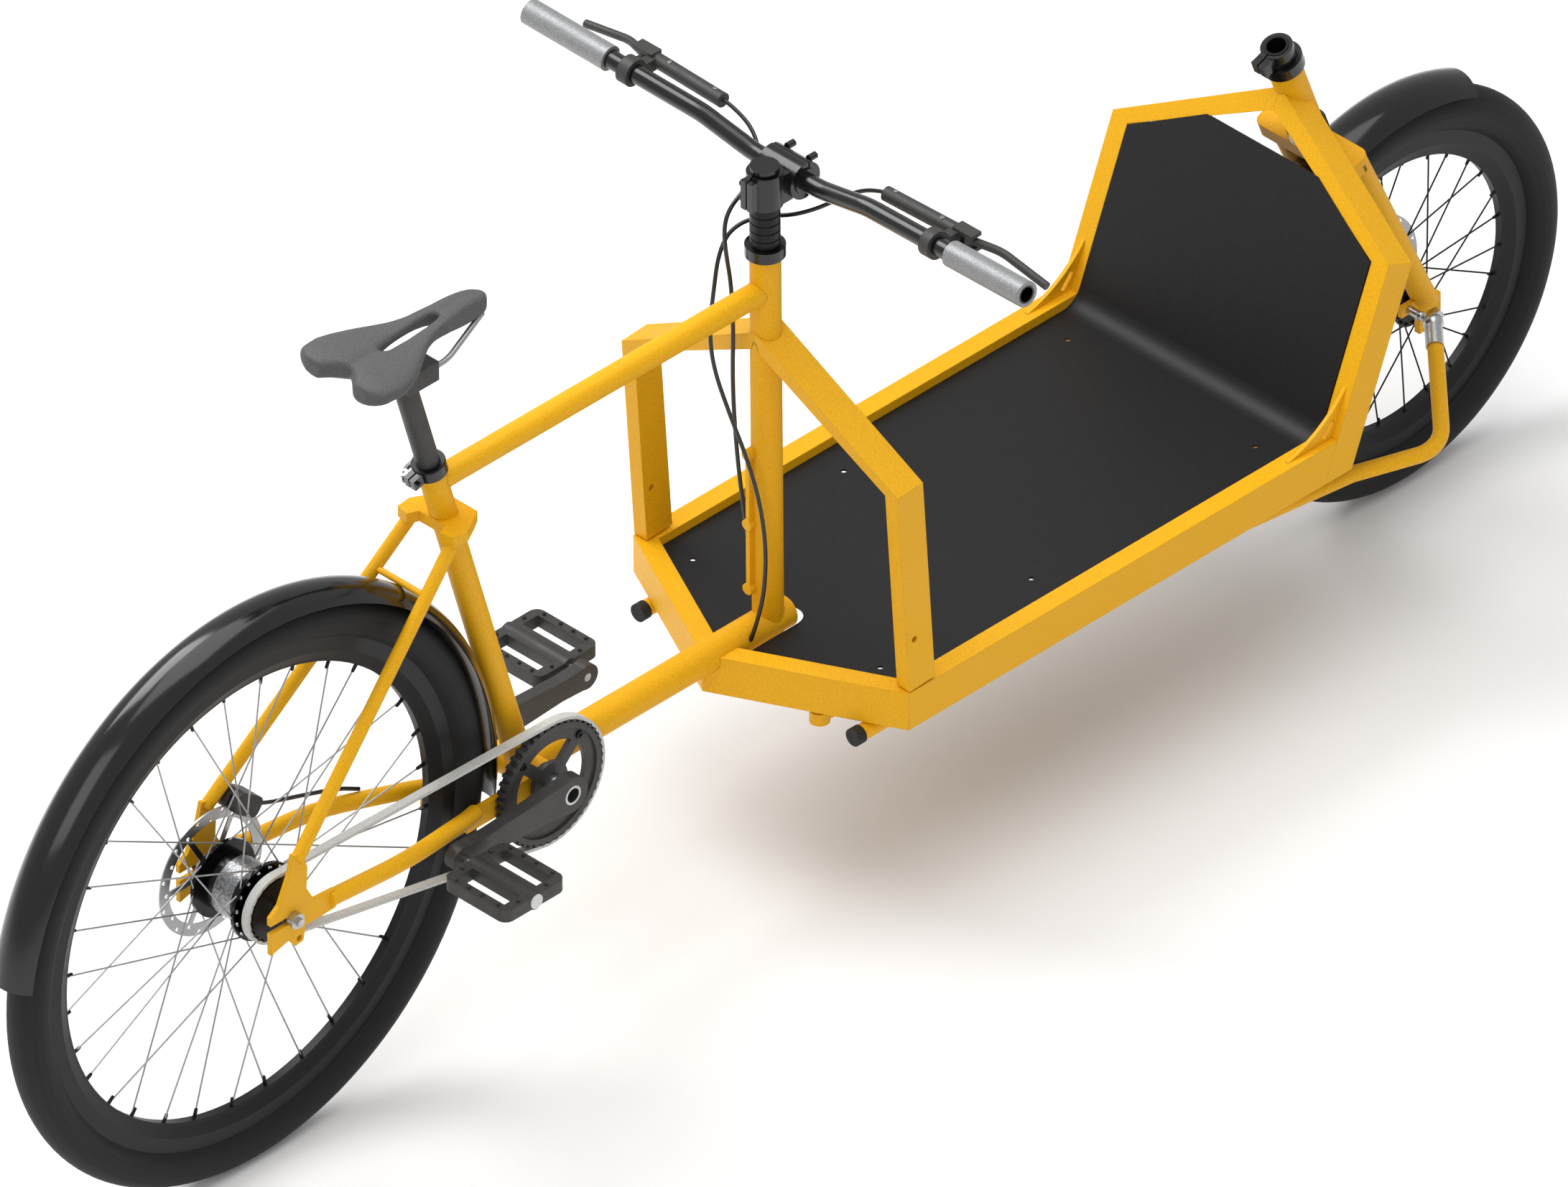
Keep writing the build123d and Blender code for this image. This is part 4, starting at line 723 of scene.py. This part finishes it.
def saddleHalf(made, side):
    # lofted rounded sections from tail to nose, for one side of the slot
    shape = saddleShape
    span = shape["nose"] - shape["tail"] - 2 * shape["endGap"]
    last = shape["stations"] - 1
    sides = shape["sides"]
    rings = []
    for i in range(shape["stations"]):
        x = shape["endGap"] + span * i / last
        inner, outer = saddleEdges(x)
        top = saddleTop(x)
        midWay = min(1.0, max(0.0, (x - shape["thinFrom"]) / shape["thinSpan"]))
        thinner = shape["thin"] * math.sin(math.pi * midWay) ** 2
        ring = []
        for k in range(sides):
            angle = 2 * math.pi * k / sides
            across = rounded(math.cos(angle), shape["squareAcross"])
            lift = rounded(math.sin(angle), shape["squareUp"])
            y = (inner + outer) / 2 + (outer - inner) / 2 * across
            wing = (y / shape["wing"]) ** 2
            high = top - shape["crown"] * wing
            low = shape["under"] + shape["underRise"] * wing + thinner
            z = (high + low) / 2 + (high - low) / 2 * lift
            ring.append(made.verts.new(at(shape["tail"] + x, side * y, shape["base"] + z)))
        rings.append(ring)
    for near, far in zip(rings, rings[1:]):
        for k in range(sides):
            made.faces.new((near[k], near[k - 1], far[k - 1], far[k]))
    made.faces.new(rings[0])
    made.faces.new(rings[-1][::-1])


def makeSaddle():
    # both halves joined into one skin, then softened
    made = bmesh.new()
    for side in (1, -1):
        saddleHalf(made, side)
    pad = newObject("saddle_pad", finishMesh(made, "saddle_pad"))
    remesh = pad.modifiers.new("join", "REMESH")
    remesh.mode = "VOXEL"
    remesh.voxel_size = saddleShape["voxel"] / 1000
    smooth = pad.modifiers.new("soften", "SMOOTH")
    smooth.iterations = saddleShape["softening"]
    pad = bakeMesh(pad)
    giveFinish(pad.data, "embossedVinyl")
    for face in pad.data.polygons:
        face.use_smooth = True
    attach(pad, "seat")
    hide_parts("saddle")


makeSaddle()
print("saddle made")

# a thin lip on the seat collar that hides the end of the painted tube; mm, and degrees back from upright
collarLip = {
    "mouth": (290.93, 0, 795), "lean": 16.0,
    "bore": 13.8, "outside": 19.6, "height": 1.6, "round": 0.5, "sides": 64,
}


def makeCollarLip():
    # a ring with a rounded upper edge, closed on itself
    made = bmesh.new()
    lip = collarLip
    shoulder = lip["height"] - lip["round"]
    outline = [(lip["bore"], 0), (lip["outside"], 0), (lip["outside"], shoulder),
               (lip["outside"] - lip["round"], lip["height"]), (lip["bore"], lip["height"])]
    lean = Matrix.Rotation(math.radians(-lip["lean"]), 4, "Y")
    place = Matrix.Translation(at(*lip["mouth"])) @ lean
    rings = []
    for i in range(lip["sides"]):
        angle = 2 * math.pi * i / lip["sides"]
        points = [Vector((r * math.cos(angle), r * math.sin(angle), h)) / 1000 for r, h in outline]
        rings.append([made.verts.new(place @ point) for point in points])
    for i in range(lip["sides"]):
        near, far = rings[i - 1], rings[i]
        for k in range(len(outline)):
            made.faces.new((near[k - 1], near[k], far[k], far[k - 1]))
    ring = newObject("seat_collar_lip", finishMesh(made, "seat_collar_lip"))
    giveFinish(ring.data, "anodisedBlack")
    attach(ring, "frame")


makeCollarLip()
print("collar lip made")

# the two brake hoses, in mm: each route runs from its lever to where it enters the frame
hoses = {
    "radius": 2.5,
    "left": [(882, 127, 925), (884, 96, 917), (874, 64, 898), (850, 44, 882), (820, 36, 878),
             (797, 36, 864), (789, 36, 842), (788, 32, 812), (792, 28, 770), (793, 26, 710),
             (791, 26, 650), (792, 25, 590), (795, 23, 530), (798, 19, 475), (802, 14, 425)],
    "right": [(882, -127, 925), (886, -98, 914), (880, -66, 893), (868, -38, 868), (852, -8, 850),
              (836, 26, 842), (806, 42, 832), (786, 42, 806), (774, 38, 762), (766, 37, 715),
              (765, 30, 668), (772, 13, 612), (783, -5, 550), (789, -18, 495), (792, -24, 435),
              (789, -24, 378), (780, -22, 340), (772.5, -18, 314.5)],
    "fixedBelow": (818, 0, 800), "turnsAbove": (818, 0, 905),
}


def makeHose(side):
    # a smooth tube along its route
    curve = bpy.data.curves.new("hose_" + side, "CURVE")
    curve.dimensions = "3D"
    curve.bevel_depth = hoses["radius"] / 1000
    curve.bevel_resolution = 3
    curve.resolution_u = 8
    curve.use_fill_caps = True
    route = hoses[side]
    line = curve.splines.new("NURBS")
    line.points.add(len(route) - 1)      # a new spline already has one point
    for point, place in zip(line.points, route):
        point.co = (*at(*place), 1.0)
    line.order_u = 3
    line.use_endpoint_u = True
    hose = bakeMesh(newObject("hose_" + side, curve))
    giveFinish(hose.data, "hoseNylon")
    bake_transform(hose)
    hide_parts("steering_hoses")


makeHose("left")
makeHose("right")
print("hoses made")
